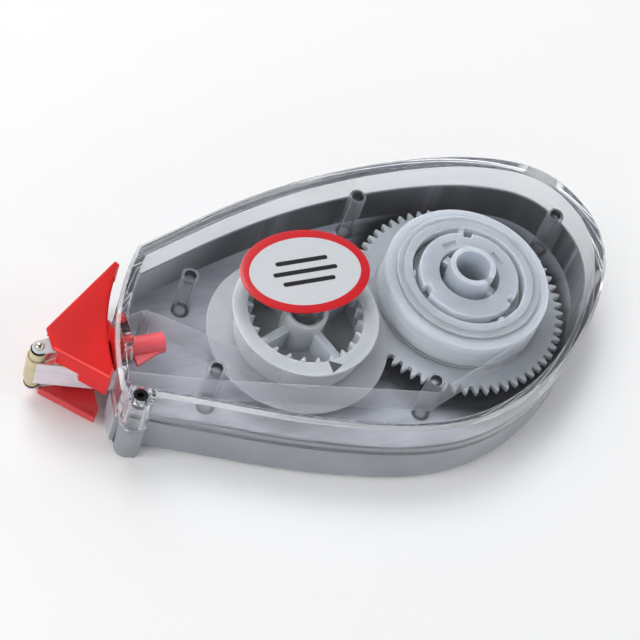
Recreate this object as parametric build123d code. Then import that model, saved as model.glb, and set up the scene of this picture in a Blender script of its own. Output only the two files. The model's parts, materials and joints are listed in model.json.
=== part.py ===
from build123d import *
import os
from math import acos, asin, atan2, cos, degrees, hypot, pi, radians, sin, sqrt, tan

# Correction tape roller, millimetres.
# The flat back rests on Z = 0 and the clear cover is on top. The origin is on the
# back face at the axis of the supply reel. -X points at the applicator tip.
# The far side of the case is +Y and the bellied near side is -Y.

# ---------------------------------------------------------------- tape
TAPE_W = 4.2                # width of the correction tape
TAPE_T = 0.15               # drawn thickness of a free run of tape
ROLL_R = 10.9               # full supply roll
WOUND_T = 0.45              # used backing already wound on the take-up drum
TAPE_GAP = 0.10             # between a run of tape and a turning roll
SPLIT_GAP = 0.30            # between the runs either side of the head joint

# ---------------------------------------------------------------- heights
FLOOR = 1.2                 # floor of the back shell
GEAR_RISE = 1.2             # gear underside above the floor
GEAR_T = 0.9                # face width of both gears
DECK_GAP = 0.10             # between the gears and the reel flanges above them
FLANGE_T = 0.35             # thin reel flanges
TAPE_FLOAT = 0.15           # tape edge above the lower flanges
RIM_GAP = 0.05              # tape edge below the upper rims
RIM_T = 0.45                # upper rims of both reels
HUB_RISE = 0.9              # clutch and take-up hub faces above the tape edge
HEADROOM = 3.0              # tape edge to the inside of the lid
LID = 1.1                   # lid of the clear cover
TUBE_UNDER_LID = 0.3        # supply hub tube to the inside of the lid

# ---------------------------------------------------------------- gears
MODULE = 0.45
SUPPLY_TEETH = 62
TAKEUP_TEETH = 41
BACKLASH = 0.12             # thinning of each tooth at the pitch circle
CENTRE_SLACK = 0.04         # added to the theoretical centre distance
PRESSURE_ANGLE = radians(20)
CENTRE_LINE = radians(183.2)  # direction from the supply axis to the take-up axis

# ---------------------------------------------------------------- supply reel
AXLE_R = 2.22               # hollow axle of the shell under the supply reel
RUN_FIT = 0.06              # radial running clearance of every journal
TUBE_T = 0.72               # wall of the supply hub tube
TUBE_SLOT = 0.9             # slot in the top of the hub tube
KEY_W = 1.2                 # driving keys between gear tube and clutch
KEY_R = 3.85                # reach of the driving keys
KEY_FIT = 0.05              # clearance around the keys
CLUTCH_BORE_R = 4.0         # bore of the clutch disc
CLUTCH_R = 6.55             # outside of the clutch disc
CLUTCH_T = 0.8              # its face plate
CLUTCH_SKIRT = 0.9          # wall of the clutch barrel
SPOOL_BORE_R = 7.5          # bore of the supply spool
SPOOL_WALL = 0.8            # wall of the supply spool
SPOOL_RIM_R = 9.49          # upper rim of the supply spool
SPOOL_DECK_R = 11.0         # lower flange of the supply spool
RING_R = 0.34               # half thickness of the friction ring

# ---------------------------------------------------------------- take-up reel
TAKEUP_AXLE_R = 1.55        # axle of the shell under the take-up reel
TAKEUP_TUBE_T = 0.55        # wall of the take-up gear tube
TAKEUP_HUB_T = 0.55         # wall of the take-up spool hub around the tube
DRUM_R = 8.0                # winding drum
DRUM_T = 0.6                # its wall
DRUM_RIM_R = 9.35           # upper rim
DRUM_DECK_R = 11.75         # lower flange
SPOKES = 4
SPOKE_W = 1.1
GRIP_TEETH = 24             # short teeth inside the drum
GRIP_DEPTH = 0.75

# ---------------------------------------------------------------- case
WALL = 1.36                 # side wall of shell and cover
REAR_GAP = 3.25             # gear tips to the rear wall
FAR_GAP = 1.55              # gear tips to the far wall
NEAR_GAP = 6.85             # gear tips to the near wall
LIP_H = 0.7                 # tongue that locates the cover in the shell
LIP_FIT = 0.05              # clearance around the tongue
SHELL_ROUND = 1.1           # rounding of the lower outer edge
COVER_BEVEL = 0.45          # bevel of the upper outer edge
POST_R = 1.15               # tubular posts that guide the tape and stiffen the floor
POST_HOLE_R = 0.72
POST_REACH = 2.15           # gap from the gear tips, or the take-up flange, to a post
REAR_POST_REACH = 1.35      # the same for the post beside the rear wall
GUIDE_R = 0.6               # fixed pin that steers the returning tape
CORNER_R = 1.75             # corner column at the near front corner
CORNER_HOLE_R = 0.95
PLUG_FIT = 0.03             # radial clearance of the plug in the column
PLUG_L = 1.3                # length of the plug
PLUG_SINK = 0.25            # plug below the top of the cover
PLUG_SOCKET = 0.9           # six-sided socket in the plug, across corners

# ---------------------------------------------------------------- head
MOUTH_DX = 25.2             # take-up axis to the case mouth at the head axis
HEAD_Y = -0.6               # head axis, beside the supply axis
HEAD_REACH = 9.2            # case mouth to the tip roller axis
ROLLER_R = 1.0
ROLLER_OVER = 1.3           # roller past each edge of the tape
TIP_PIN_R = 0.36
YOKE_ARM_T = 0.5            # arms of the roller yoke
YOKE_TIP_R = 0.85           # rounded end of the arms
PLATE_SHIFT = (-0.8, -0.35)  # bottom plate of the head against the top plate
COLLAR_T = 0.25             # end collars of the tip roller
HEAD_PLATE_T = 0.6          # top and bottom plates of the head
HEAD_SKIN_GAP = 0.05        # yoke to head plates
SKIRT_FRONT = 2.7           # depth of the top plate's side skirt, front part
SKIRT_REAR = 4.0            # and rear part
SKIRT_T = 0.45
KEEL_H = 0.7                # low wall around the bottom plate
DISC_OVER = 2.0             # pivot disc past each edge of the tape
DISC_T = 1.1
DISC_GAP = 0.65             # disc to the edge of the mouth
MOUTH_SILL = 0.15           # wall left above the floor and below the lid at the mouth
SHANK_R = 1.34              # pivot shank
SHANK_L = 6.6
GROOVE_R = 1.0              # retaining groove in the shank
CLIP_R = 1.95               # retaining clip outside
CLIP_T = 0.4
BEARING_L = 1.0             # length of the bearing block
BEARING_IN = 0.8            # mouth to the bearing block
BEARING_WALL = 0.75

# ---------------------------------------------------------------- badge
BADGE_L = 17.0
BADGE_W = 12.4
BADGE_T = 0.12
BADGE_AT = (0.4, 3.8)       # from the take-up axis

# ---------------------------------------------------------------- worked out
gear_z = FLOOR + GEAR_RISE
deck_z = gear_z + GEAR_T + DECK_GAP
tape_z = deck_z + FLANGE_T + TAPE_FLOAT
tape_top = tape_z + TAPE_W
mid_z = tape_z + TAPE_W / 2
hub_top = tape_top + HUB_RISE
lid_z = tape_top + HEADROOM
case_h = lid_z + LID
tube_top = lid_z - TUBE_UNDER_LID
split_z = mid_z
post_top = hub_top
roller_l = TAPE_W + 2 * ROLLER_OVER
disc_r = TAPE_W / 2 + DISC_OVER

supply_pitch = SUPPLY_TEETH * MODULE / 2
takeup_pitch = TAKEUP_TEETH * MODULE / 2
supply_tip = supply_pitch + MODULE
centre_distance = supply_pitch + takeup_pitch + CENTRE_SLACK
takeup_x = centre_distance * cos(CENTRE_LINE)
takeup_y = centre_distance * sin(CENTRE_LINE)

tube_in = AXLE_R + RUN_FIT
tube_out = tube_in + TUBE_T
takeup_tube_in = TAKEUP_AXLE_R + RUN_FIT
takeup_tube_out = takeup_tube_in + TAKEUP_TUBE_T

mouth_x = takeup_x - MOUTH_DX
tip_x = mouth_x - HEAD_REACH

rear_x = supply_tip + REAR_GAP + WALL
far_y = supply_tip + FAR_GAP + WALL
near_y = -(supply_tip + NEAR_GAP + WALL)
far_corner = (mouth_x + 6.1, HEAD_Y + 10.8)
near_corner = (mouth_x - 1.9, HEAD_Y - 8.9)
corner_at = (mouth_x + 0.1, HEAD_Y - 10.0)

post_ring = supply_tip + POST_REACH + POST_R
rear_ring = supply_tip + REAR_POST_REACH + POST_R
front_ring = DRUM_DECK_R + POST_REACH + POST_R
POSTS = [
    (post_ring * cos(radians(126)), post_ring * sin(radians(126))),
    (post_ring * cos(radians(234)), post_ring * sin(radians(234))),
    (rear_ring * cos(radians(23.6)), rear_ring * sin(radians(23.6))),
    (takeup_x + front_ring * cos(radians(149)), takeup_y + front_ring * sin(radians(149))),
    (takeup_x + front_ring * cos(radians(203)), takeup_y + front_ring * sin(radians(203))),
]
guide_at = (mouth_x + 5.4, HEAD_Y + SHANK_R + 1.0 + GUIDE_R)
bearing_x = mouth_x + BEARING_IN


# ---------------------------------------------------------------- helpers
def rod(radius, z0, z1, x=0.0, y=0.0):
    """Upright round rod between two heights."""
    body = Cylinder(radius, z1 - z0, align=(Align.CENTER, Align.CENTER, Align.MIN))
    return Pos(x, y, z0) * body


def tube(outer, inner, z0, z1, x=0.0, y=0.0):
    """Upright tube between two heights."""
    return rod(outer, z0, z1, x, y) - rod(inner, z0 - 1, z1 + 1, x, y)


def block(x0, x1, y0, y1, z0, z1):
    """Box between two corners."""
    body = Box(x1 - x0, y1 - y0, z1 - z0, align=(Align.MIN, Align.MIN, Align.MIN))
    return Pos(x0, y0, z0) * body


def along_x(radius, x0, x1, y, z):
    """Round rod along X."""
    body = Cylinder(radius, x1 - x0, align=(Align.CENTER, Align.CENTER, Align.MIN))
    return Pos(x0, y, z) * Rot(0, 90, 0) * body


def prism(sketch, z0, z1):
    """Upright extrusion of a flat outline between two heights."""
    return extrude(Pos(0, 0, z0) * sketch, z1 - z0)


def polygon(points):
    """Flat face through the given corners."""
    return make_face(Polyline(*points, close=True))


def one(name, shape):
    """Write a sub-part to its own file."""
    shape.label = name
    export_step(shape, "parts/" + name + ".step")


# ---------------------------------------------------------------- gears
def gear_outline(teeth, tooth_angle):
    """Involute gear outline with a tooth centred on tooth_angle (radians)."""
    pitch_r = teeth * MODULE / 2
    base_r = pitch_r * cos(PRESSURE_ANGLE)
    root_r = pitch_r - 1.25 * MODULE
    tip_r = pitch_r + MODULE
    half_pitch = (pi * MODULE / 2 - BACKLASH) / 2 / pitch_r
    inv_pitch = tan(PRESSURE_ANGLE) - PRESSURE_ANGLE
    flank = []
    for step in range(4):
        r = root_r + (tip_r - root_r) * step / 3
        roll = acos(min(1.0, base_r / r))
        flank.append((r, half_pitch + inv_pitch - (tan(roll) - roll)))
    corners = []
    for tooth in range(teeth):
        centre = tooth_angle + 2 * pi * tooth / teeth
        left = [(r, -a) for r, a in flank]
        right = [(r, a) for r, a in reversed(flank)]
        for r, a in left + right:
            corners.append((r * cos(centre + a), r * sin(centre + a)))
    return polygon(corners)


# ---------------------------------------------------------------- case
def two_arcs(start, start_way, end, end_way):
    """Two tangent arcs that leave start along start_way and reach end along end_way."""
    span = end - start
    ways = start_way + end_way
    bend = 2 * (1 - start_way.dot(end_way))
    along = span.dot(ways)
    reach = (sqrt(along ** 2 + bend * span.dot(span)) - along) / bend
    knee0 = start + start_way * reach
    knee1 = end - end_way * reach
    middle = (knee0 + knee1) / 2
    return [
        TangentArc(start, middle, tangent=start_way),
        TangentArc(middle, end, tangent=(knee1 - knee0).normalized()),
    ]


def case_outline(inset=0.0):
    """Plan of the case: a teardrop with a slanted, slightly bowed front."""
    r = supply_tip
    stations = [
        Vector(*far_corner),
        Vector(takeup_x, far_y - 0.118 * r),
        Vector(-0.3125 * r, far_y),
        Vector(0.590 * r, far_y - 0.118 * r),
        Vector(rear_x - 0.264 * r, far_y - 0.361 * r),
        Vector(rear_x - 0.035 * r, 0.444 * r),
        Vector(rear_x, 0.139 * r),
        Vector(rear_x - 0.430 * r, -0.715 * r),
        Vector(0.0, near_y + 0.174 * r),
        Vector(-0.729 * r, near_y),
        Vector(takeup_x, near_y + 0.153 * r),
        Vector(*near_corner),
    ]
    guide = Spline(*stations, tangents=[(0.95, 0.30), (-0.93, 0.37)])
    ways = [guide.tangent_at(point).normalized() for point in stations]
    pieces = [ThreePointArc(near_corner, (mouth_x, HEAD_Y), far_corner)]
    for first in range(len(stations) - 1):
        last = first + 1
        pieces += two_arcs(stations[first], ways[first], stations[last], ways[last])
    plan = make_face(Curve() + pieces)
    if inset:
        plan = offset(plan, amount=-inset)
    return plan


def mouth_cut():
    """Opening in the front wall for the pivot disc and both runs of tape."""
    reach = disc_r + DISC_GAP
    near = HEAD_Y - reach - 0.5
    far = HEAD_Y + reach
    return block(mouth_x - 4, mouth_x + 4, near, far, FLOOR + MOUTH_SILL, lid_z - MOUTH_SILL)


def bearing_bore():
    """Bore for the shank through the bearing block."""
    return along_x(SHANK_R + RUN_FIT, mouth_x - 4, bearing_x + BEARING_L + 4, HEAD_Y, mid_z)


def bearing_block(z0, z1):
    """Half of the block that carries the shank."""
    half = SHANK_R + RUN_FIT + BEARING_WALL
    return block(bearing_x, bearing_x + BEARING_L, HEAD_Y - half, HEAD_Y + half, z0, z1) - bearing_bore()


def back_shell():
    """Grey tray: floor, lower wall, posts, axles, tape guide and lower bearing half."""
    body = prism(case_outline(), 0, split_z)
    low = body.edges().group_by(Axis.Z)[0]
    body = fillet(low, SHELL_ROUND)
    body += rod(CORNER_R, 0, split_z, *corner_at)
    body -= prism(case_outline(WALL), FLOOR, split_z + 1)
    body -= mouth_cut()
    tongue = case_outline(WALL / 2 + LIP_FIT) - case_outline(WALL)
    body += prism(tongue, split_z - 0.2, split_z + LIP_H) - mouth_cut()
    for x, y in POSTS:
        body += rod(POST_R, FLOOR / 2, post_top, x, y)
        body -= rod(POST_HOLE_R, FLOOR, post_top + 1, x, y)
    body += rod(AXLE_R, FLOOR / 2, tape_z + 1.6) - rod(AXLE_R - 0.8, FLOOR, tape_z + 2)
    body += rod(TAKEUP_AXLE_R, FLOOR / 2, tape_top, takeup_x, takeup_y)
    body += rod(GUIDE_R, FLOOR / 2, tape_top + 0.4, *guide_at)
    body += bearing_block(FLOOR - 0.2, mid_z - 0.02)
    body -= rod(CORNER_HOLE_R, FLOOR, split_z + 1, *corner_at)
    return body


def front_cover():
    """Clear cover: lid, upper wall, take-up spigot and upper bearing half."""
    body = prism(case_outline(), split_z + LIP_FIT, case_h)
    top = body.edges().group_by(Axis.Z)[-1]
    body = chamfer(top, COVER_BEVEL)
    body += rod(CORNER_R, split_z + LIP_FIT, case_h, *corner_at)
    body -= prism(case_outline(WALL), split_z - 1, lid_z)
    body -= prism(case_outline(WALL / 2), split_z - 1, split_z + LIP_H + LIP_FIT)
    body -= mouth_cut()
    body += rod(takeup_tube_in - RUN_FIT, tape_top + 0.2, lid_z + LID / 2, takeup_x, takeup_y)
    body += bearing_block(mid_z + 0.02, lid_z + 0.2)
    body -= rod(CORNER_HOLE_R, split_z - 1, case_h + 1, *corner_at)
    return body


def corner_plug():
    """Dark plug that closes the corner column, with a six-sided socket."""
    top = case_h - PLUG_SINK
    body = rod(CORNER_HOLE_R - PLUG_FIT, top - PLUG_L, top, *corner_at)
    socket = Pos(*corner_at) * RegularPolygon(PLUG_SOCKET / 2, 6)
    return body - prism(socket, top - 0.6, top + 1)


# ---------------------------------------------------------------- supply reel
def supply_gear():
    """Driving gear with its tall slotted hub tube and two driving keys."""
    body = prism(gear_outline(SUPPLY_TEETH, CENTRE_LINE), gear_z, gear_z + GEAR_T)
    body += rod(tube_out, FLOOR + 0.2, tube_top)
    for turn in (-55, 125):
        key = block(0, KEY_R, -KEY_W / 2, KEY_W / 2, gear_z, hub_top - 0.4)
        body += Rot(0, 0, turn) * key
    body -= rod(tube_in, 0, case_h)
    slot = block(0, tube_out + 1, -TUBE_SLOT / 2, TUBE_SLOT / 2, hub_top, case_h)
    body -= Rot(0, 0, -62) * slot
    return body


def friction_clutch():
    """Barrel keyed to the gear tube; the friction ring sits in its outer groove."""
    top_z = hub_top
    body = tube(CLUTCH_R, CLUTCH_BORE_R, top_z - CLUTCH_T, top_z)
    body += tube(CLUTCH_BORE_R + CLUTCH_SKIRT, CLUTCH_BORE_R, deck_z, top_z)
    ring_seat = SPOOL_BORE_R - 2 * RING_R
    body += tube(ring_seat, CLUTCH_BORE_R, mid_z - 1.0, mid_z + 1.0)
    groove = tube(SPOOL_BORE_R, ring_seat - RING_R, mid_z - RING_R - 0.02, mid_z + RING_R + 0.02)
    body -= groove
    shoulder_r = SPOOL_BORE_R - 0.15
    body += tube(shoulder_r, CLUTCH_BORE_R, tape_top - 1.5, tape_top - 1.1)
    collar = tube(CLUTCH_BORE_R + 0.2, tube_out + 0.15, deck_z, deck_z + 1.4)
    body += collar
    for turn in (-55, 125):
        reach = KEY_R + KEY_FIT
        key = block(0, reach, -KEY_W / 2 - KEY_FIT, KEY_W / 2 + KEY_FIT, 0, case_h)
        body -= Rot(0, 0, turn) * key
    for turn in (70, 190, 310):
        notch = block(CLUTCH_R - 0.7, CLUTCH_R + 1, -0.6, 0.6, top_z - CLUTCH_T - 0.1, top_z + 1)
        body -= Rot(0, 0, turn) * notch
    for turn in (20, 100):
        pocket = block(4.6, 5.3, -1.0, 1.0, top_z - 0.3, top_z + 1)
        body -= Rot(0, 0, turn) * pocket
    return body


def friction_ring():
    """Rubber ring between clutch and spool bore, which lets the spool slip."""
    centre_r = SPOOL_BORE_R - RING_R - 0.03
    section = Pos(centre_r, 0, mid_z) * Rot(90, 0, 0) * Circle(RING_R)
    return revolve(section, axis=Axis.Z)


def supply_spool():
    """Spool that carries the roll: bore wall, lower flange and stepped upper rim."""
    rim_z = tape_top + RIM_GAP
    body = tube(SPOOL_BORE_R + SPOOL_WALL, SPOOL_BORE_R, deck_z, rim_z + RIM_T)
    body += tube(SPOOL_DECK_R, SPOOL_BORE_R, deck_z, deck_z + FLANGE_T)
    body += tube(SPOOL_RIM_R, SPOOL_BORE_R, rim_z, rim_z + RIM_T)
    body += tube(SPOOL_BORE_R + 1.1, SPOOL_BORE_R, rim_z, rim_z + RIM_T + 0.25)
    for turn in (75, 165, 285):
        tab = block(SPOOL_BORE_R - 0.45, SPOOL_BORE_R + 0.4, -0.35, 0.35, tape_top - 0.6, rim_z + RIM_T)
        body += Rot(0, 0, turn) * tab
    return body


def supply_tape_roll():
    """Unused tape wound on the supply spool."""
    return tube(ROLL_R, SPOOL_BORE_R + SPOOL_WALL, tape_z, tape_top)


# ---------------------------------------------------------------- take-up reel
def takeup_gear():
    """Driven gear with a keyed hub tube."""
    mesh = CENTRE_LINE + pi * (1 + 1 / TAKEUP_TEETH)
    body = prism(gear_outline(TAKEUP_TEETH, mesh), gear_z, gear_z + GEAR_T)
    body += rod(takeup_tube_out, FLOOR + 0.2, tape_top)
    body += block(0, takeup_tube_out + 0.45, -0.5, 0.5, gear_z, tape_top - 0.6)
    body -= rod(takeup_tube_in, 0, case_h)
    return Pos(takeup_x, takeup_y, 0) * body


def takeup_spool():
    """Open drum on four spokes, with a wide lower flange and teeth inside the drum."""
    rim_z = tape_top + RIM_GAP
    hub_in = takeup_tube_out + KEY_FIT
    hub_out = hub_in + TAKEUP_HUB_T
    drum_in = DRUM_R - DRUM_T
    body = tube(DRUM_DECK_R, hub_in, deck_z, deck_z + FLANGE_T)
    body += tube(DRUM_R, drum_in, deck_z, rim_z + RIM_T)
    body += tube(DRUM_RIM_R, drum_in, rim_z, rim_z + RIM_T)
    body += tube(hub_out, hub_in, deck_z, hub_top)
    for spoke in range(SPOKES):
        arm = block(hub_in + 0.2, drum_in + 0.2, -SPOKE_W / 2, SPOKE_W / 2, deck_z, tape_top - 0.8)
        body += Rot(0, 0, 20 + 360 * spoke / SPOKES) * arm
    for tooth in range(GRIP_TEETH):
        wedge = polygon([
            (drum_in + 0.2, -0.55),
            (drum_in + 0.2, 0.35),
            (drum_in - GRIP_DEPTH, 0.30),
            (drum_in - GRIP_DEPTH, 0.0),
        ])
        turn = 360 * (tooth + 0.5) / GRIP_TEETH
        body += Rot(0, 0, turn) * prism(wedge, rim_z - 1.6, rim_z + RIM_T - 0.15)
    keyway = block(0, takeup_tube_out + 0.45 + KEY_FIT, -0.5 - KEY_FIT, 0.5 + KEY_FIT, 0, tape_top - 0.5)
    body -= keyway
    return Pos(takeup_x, takeup_y, 0) * body


def takeup_tape_roll():
    """Used backing wound on the drum."""
    return tube(DRUM_R + WOUND_T, DRUM_R, tape_z, tape_top, takeup_x, takeup_y)


# ---------------------------------------------------------------- head
def head_back():
    """Rear edge of the head plates, which follows the case mouth."""
    back = mouth_x - 0.85
    near = (back - 0.7, HEAD_Y - 5.1)
    far = (back + 4.4, HEAD_Y + 9.3)
    return ThreePointArc(near, (back + 0.35, HEAD_Y + 1.0), far)


def head_plan():
    """Plan of the head plates: a swept arrow with clipped corners."""
    rear = head_back()
    nose = tip_x + 1.35
    near = rear @ 0
    far = rear @ 1
    heel = (near.X - 0.8, near.Y - 1.2)
    peak = (far.X - 0.4, far.Y + 0.7)
    return make_face(Curve() + [
        Line((nose, HEAD_Y + 2.1), (nose, HEAD_Y - 0.9)),
        Line((nose, HEAD_Y - 0.9), heel),
        Line(heel, near),
        rear,
        Line(far, peak),
        Line(peak, (nose, HEAD_Y + 2.1)),
    ])


def yoke_levels():
    """Heights of the four faces of the yoke arms, bottom to top."""
    low = mid_z - roller_l / 2 - COLLAR_T
    high = mid_z + roller_l / 2 + COLLAR_T
    return low - YOKE_ARM_T, low, high, high + YOKE_ARM_T


def head_frame():
    """Red head: skirted top plate, low walled bottom plate, pivot disc and shank."""
    low0, low1, high0, high1 = yoke_levels()
    under = low0 - HEAD_SKIN_GAP
    over = high1 + HEAD_SKIN_GAP
    plan = head_plan()
    inner = offset(plan, amount=-SKIRT_T)
    body = prism(plan, over, over + HEAD_PLATE_T)
    body = chamfer(body.edges().group_by(Axis.Z)[-1], 0.2)
    skirt = prism(plan - inner, over + HEAD_PLATE_T - SKIRT_REAR, over + 0.1)
    nose = tip_x - 1
    step_x = tip_x + 4.2
    skirt -= block(nose, step_x, HEAD_Y - 12, HEAD_Y + 12, 0, over + HEAD_PLATE_T - SKIRT_FRONT)
    skirt -= block(nose, tip_x + 3.2, HEAD_Y - 1.3, HEAD_Y + 2.4, 0, over)
    skirt -= prism(trace(head_back(), line_width=2 * SKIRT_T + 0.4), 0, over)
    body += skirt
    keel = prism(plan, under - HEAD_PLATE_T, under)
    keel += prism(plan - inner, under - 0.1, under + KEEL_H)
    keel = Pos(*PLATE_SHIFT) * keel
    keel -= block(nose, tip_x + 3.2, HEAD_Y - 1.3, HEAD_Y + 2.4, under, case_h)
    body += keel
    disc_x = mouth_x - DISC_T + 0.4
    disc = along_x(disc_r, disc_x, disc_x + DISC_T, HEAD_Y, mid_z)
    disc -= block(disc_x - 1, disc_x + DISC_T + 1, HEAD_Y - 9, HEAD_Y - 3.3, 0, case_h)
    disc -= block(disc_x - 1, disc_x + DISC_T + 1, HEAD_Y + 2.1, HEAD_Y + 3.2, tape_z - 0.2, tape_top + 0.2)
    body += disc
    spine = block(disc_x - 1.6, disc_x + 0.2, HEAD_Y - 0.9, HEAD_Y + 0.9, under - 0.1, over + 0.1)
    body += spine
    end_x = disc_x + DISC_T + SHANK_L
    shank = along_x(SHANK_R, disc_x + DISC_T / 2, end_x, HEAD_Y, mid_z)
    clip_x = bearing_x + BEARING_L + 0.2
    shank -= along_x(SHANK_R + 1, clip_x, clip_x + CLIP_T + 0.1, HEAD_Y, mid_z) - along_x(
        GROOVE_R, clip_x - 1, clip_x + CLIP_T + 1, HEAD_Y, mid_z)
    body += shank
    fin_x = clip_x + CLIP_T + 0.4
    fin = Pos(0, 0, mid_z - 0.25) * extrude(polygon([
        (fin_x, HEAD_Y - SHANK_R + 0.3),
        (fin_x, HEAD_Y - SHANK_R - 1.4),
        (end_x, HEAD_Y - SHANK_R + 0.3),
    ]), 0.5)
    body += fin
    return body


def head_clip():
    """Open retaining clip that snaps into the shank groove behind the bearing."""
    clip_x = bearing_x + BEARING_L + 0.25
    ring = along_x(CLIP_R, clip_x, clip_x + CLIP_T, HEAD_Y, mid_z)
    ring -= along_x(GROOVE_R + 0.02, clip_x - 1, clip_x + CLIP_T + 1, HEAD_Y, mid_z)
    ring -= block(clip_x - 1, clip_x + CLIP_T + 1, HEAD_Y - 0.8, HEAD_Y + 0.8, mid_z, mid_z + CLIP_R + 1)
    return ring


def roller_yoke():
    """Pale yoke inside the head: two arms that hold the tip roller's pin."""
    low0, low1, high0, high1 = yoke_levels()
    back_x = tip_x + 4.4
    arm = make_face(Curve() + [
        Line((back_x, HEAD_Y - 1.2), (tip_x, HEAD_Y - YOKE_TIP_R)),
        ThreePointArc(
            (tip_x, HEAD_Y - YOKE_TIP_R), (tip_x - YOKE_TIP_R, HEAD_Y), (tip_x, HEAD_Y + YOKE_TIP_R)),
        Line((tip_x, HEAD_Y + YOKE_TIP_R), (back_x, HEAD_Y + 1.2)),
        Line((back_x, HEAD_Y + 1.2), (back_x, HEAD_Y - 1.2)),
    ])
    body = prism(arm, low0, low1) + prism(arm, high0, high1)
    body += block(back_x - 1.6, back_x, HEAD_Y - 0.7, HEAD_Y + 0.7, low0, high1)
    body -= rod(TIP_PIN_R + 0.02, 0, case_h, tip_x, HEAD_Y)
    return body


def roller_collars():
    """Two thin collars between the roller ends and the yoke arms."""
    low0, low1, high0, high1 = yoke_levels()
    lower = tube(ROLLER_R, TIP_PIN_R + 0.02, low1, low1 + COLLAR_T - 0.05, tip_x, HEAD_Y)
    upper = tube(ROLLER_R, TIP_PIN_R + 0.02, high0 - COLLAR_T + 0.05, high0, tip_x, HEAD_Y)
    return Compound(children=[lower.solid(), upper.solid()])


def tip_roller():
    """Tan roller that presses the tape down."""
    z0 = mid_z - roller_l / 2
    return tube(ROLLER_R, TIP_PIN_R + RUN_FIT, z0, z0 + roller_l, tip_x, HEAD_Y)


def tip_pin():
    """Steel pin through yoke and roller, with a domed upper end."""
    low0, low1, high0, high1 = yoke_levels()
    body = rod(TIP_PIN_R, low0, high1 + 0.05, tip_x, HEAD_Y)
    ball_r = 0.62
    dome = Pos(tip_x, HEAD_Y, high1 + 0.45 - ball_r) * Sphere(ball_r)
    dome -= block(tip_x - 2, tip_x + 2, HEAD_Y - 2, HEAD_Y + 2, high1 - 4, high1)
    return body + dome


# ---------------------------------------------------------------- tape runs
def bar(start, end, side):
    """Tangent points of a taut run between two round guides.

    Each guide is (centre, radius). side holds +1 where the guide's centre lies to
    the left of the tape's travel and -1 where it lies to the right.
    """
    (x1, y1), r1 = start
    (x2, y2), r2 = end
    offset_r = side[1] * r2 - side[0] * r1
    heading = atan2(y2 - y1, x2 - x1) - asin(offset_r / hypot(x2 - x1, y2 - y1))
    nx, ny = -sin(heading), cos(heading)
    first = (x1 - side[0] * r1 * nx, y1 - side[0] * r1 * ny)
    last = (x2 - side[1] * r2 * nx, y2 - side[1] * r2 * ny)
    return first, last


def wrap(guide, start, end):
    """Arc of tape turning clockwise around a guide."""
    (x, y), r = guide
    a0 = atan2(start[1] - y, start[0] - x)
    a1 = atan2(end[1] - y, end[0] - x)
    half = a0 - ((a0 - a1) % (2 * pi)) / 2
    return ThreePointArc(start, (x + r * cos(half), y + r * sin(half)), end)


def at_x(first, last, x):
    """Point of a straight run at a given x."""
    share = (x - first[0]) / (last[0] - first[0])
    return x, first[1] + share * (last[1] - first[1])


def ribbon(pieces):
    """Upright ribbon of tape along joined lines and arcs."""
    flat = trace(Curve() + pieces, line_width=TAPE_T)
    return prism(flat, tape_z, tape_top)


half_t = TAPE_T / 2
on_post = POST_R + half_t + 0.03
roll_guide = ((0.0, 0.0), ROLL_R + TAPE_GAP + half_t)
rear_guide = (POSTS[1], on_post)
front_guide = (POSTS[4], on_post)
tip_guide = ((tip_x, HEAD_Y), ROLLER_R + 0.06 + half_t)
return_guide = (guide_at, GUIDE_R + half_t + 0.03)
drum_guide = ((takeup_x, takeup_y), DRUM_R + WOUND_T + TAPE_GAP + half_t)
split_x = mouth_x + 0.55

leave_roll, reach_rear = bar(roll_guide, rear_guide, (-1, -1))
leave_rear, reach_front = bar(rear_guide, front_guide, (-1, -1))
leave_front, reach_tip = bar(front_guide, tip_guide, (-1, -1))
leave_tip, reach_return = bar(tip_guide, return_guide, (-1, -1))
leave_return, reach_drum = bar(return_guide, drum_guide, (-1, 1))


def supply_tape_run():
    """Fresh tape from the roll, outside two posts, to the mouth."""
    end = at_x(leave_front, reach_tip, split_x + SPLIT_GAP / 2)
    return ribbon([
        Line(leave_roll, reach_rear),
        wrap(rear_guide, reach_rear, leave_rear),
        Line(leave_rear, reach_front),
        wrap(front_guide, reach_front, leave_front),
        Line(leave_front, end),
    ])


def head_tape_loop():
    """Tape inside the head, around the tip roller."""
    start = at_x(leave_front, reach_tip, split_x - SPLIT_GAP / 2)
    end = at_x(leave_tip, reach_return, split_x - SPLIT_GAP / 2)
    return ribbon([
        Line(start, reach_tip),
        wrap(tip_guide, reach_tip, leave_tip),
        Line(leave_tip, end),
    ])


def return_tape_run():
    """Used backing from the mouth, over the guide pin, to the take-up drum."""
    start = at_x(leave_tip, reach_return, split_x + SPLIT_GAP / 2)
    return ribbon([
        Line(start, reach_return),
        wrap(return_guide, reach_return, leave_return),
        Line(leave_return, reach_drum),
    ])


# ---------------------------------------------------------------- badge
def badge():
    """Plain oval label with a raised-colour frame, stuck on the cover."""
    x = takeup_x + BADGE_AT[0]
    y = takeup_y + BADGE_AT[1]
    plan = Pos(x, y) * Ellipse(BADGE_L / 2, BADGE_W / 2)
    return prism(plan, case_h, case_h + BADGE_T)


os.makedirs("parts", exist_ok=True)
one("back_shell", back_shell())
one("front_cover", front_cover())
one("corner_plug", corner_plug())
one("supply_gear", supply_gear())
one("friction_clutch", friction_clutch())
one("friction_ring", friction_ring())
one("supply_spool", supply_spool())
one("supply_tape_roll", supply_tape_roll())
one("takeup_gear", takeup_gear())
one("takeup_spool", takeup_spool())
one("takeup_tape_roll", takeup_tape_roll())
one("head_frame", head_frame())
one("head_clip", head_clip())
one("roller_yoke", roller_yoke())
one("roller_collars", roller_collars())
one("tip_roller", tip_roller())
one("tip_pin", tip_pin())
one("supply_tape_run", supply_tape_run())
one("head_tape_loop", head_tape_loop())
one("return_tape_run", return_tape_run())
one("badge", badge())
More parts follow.
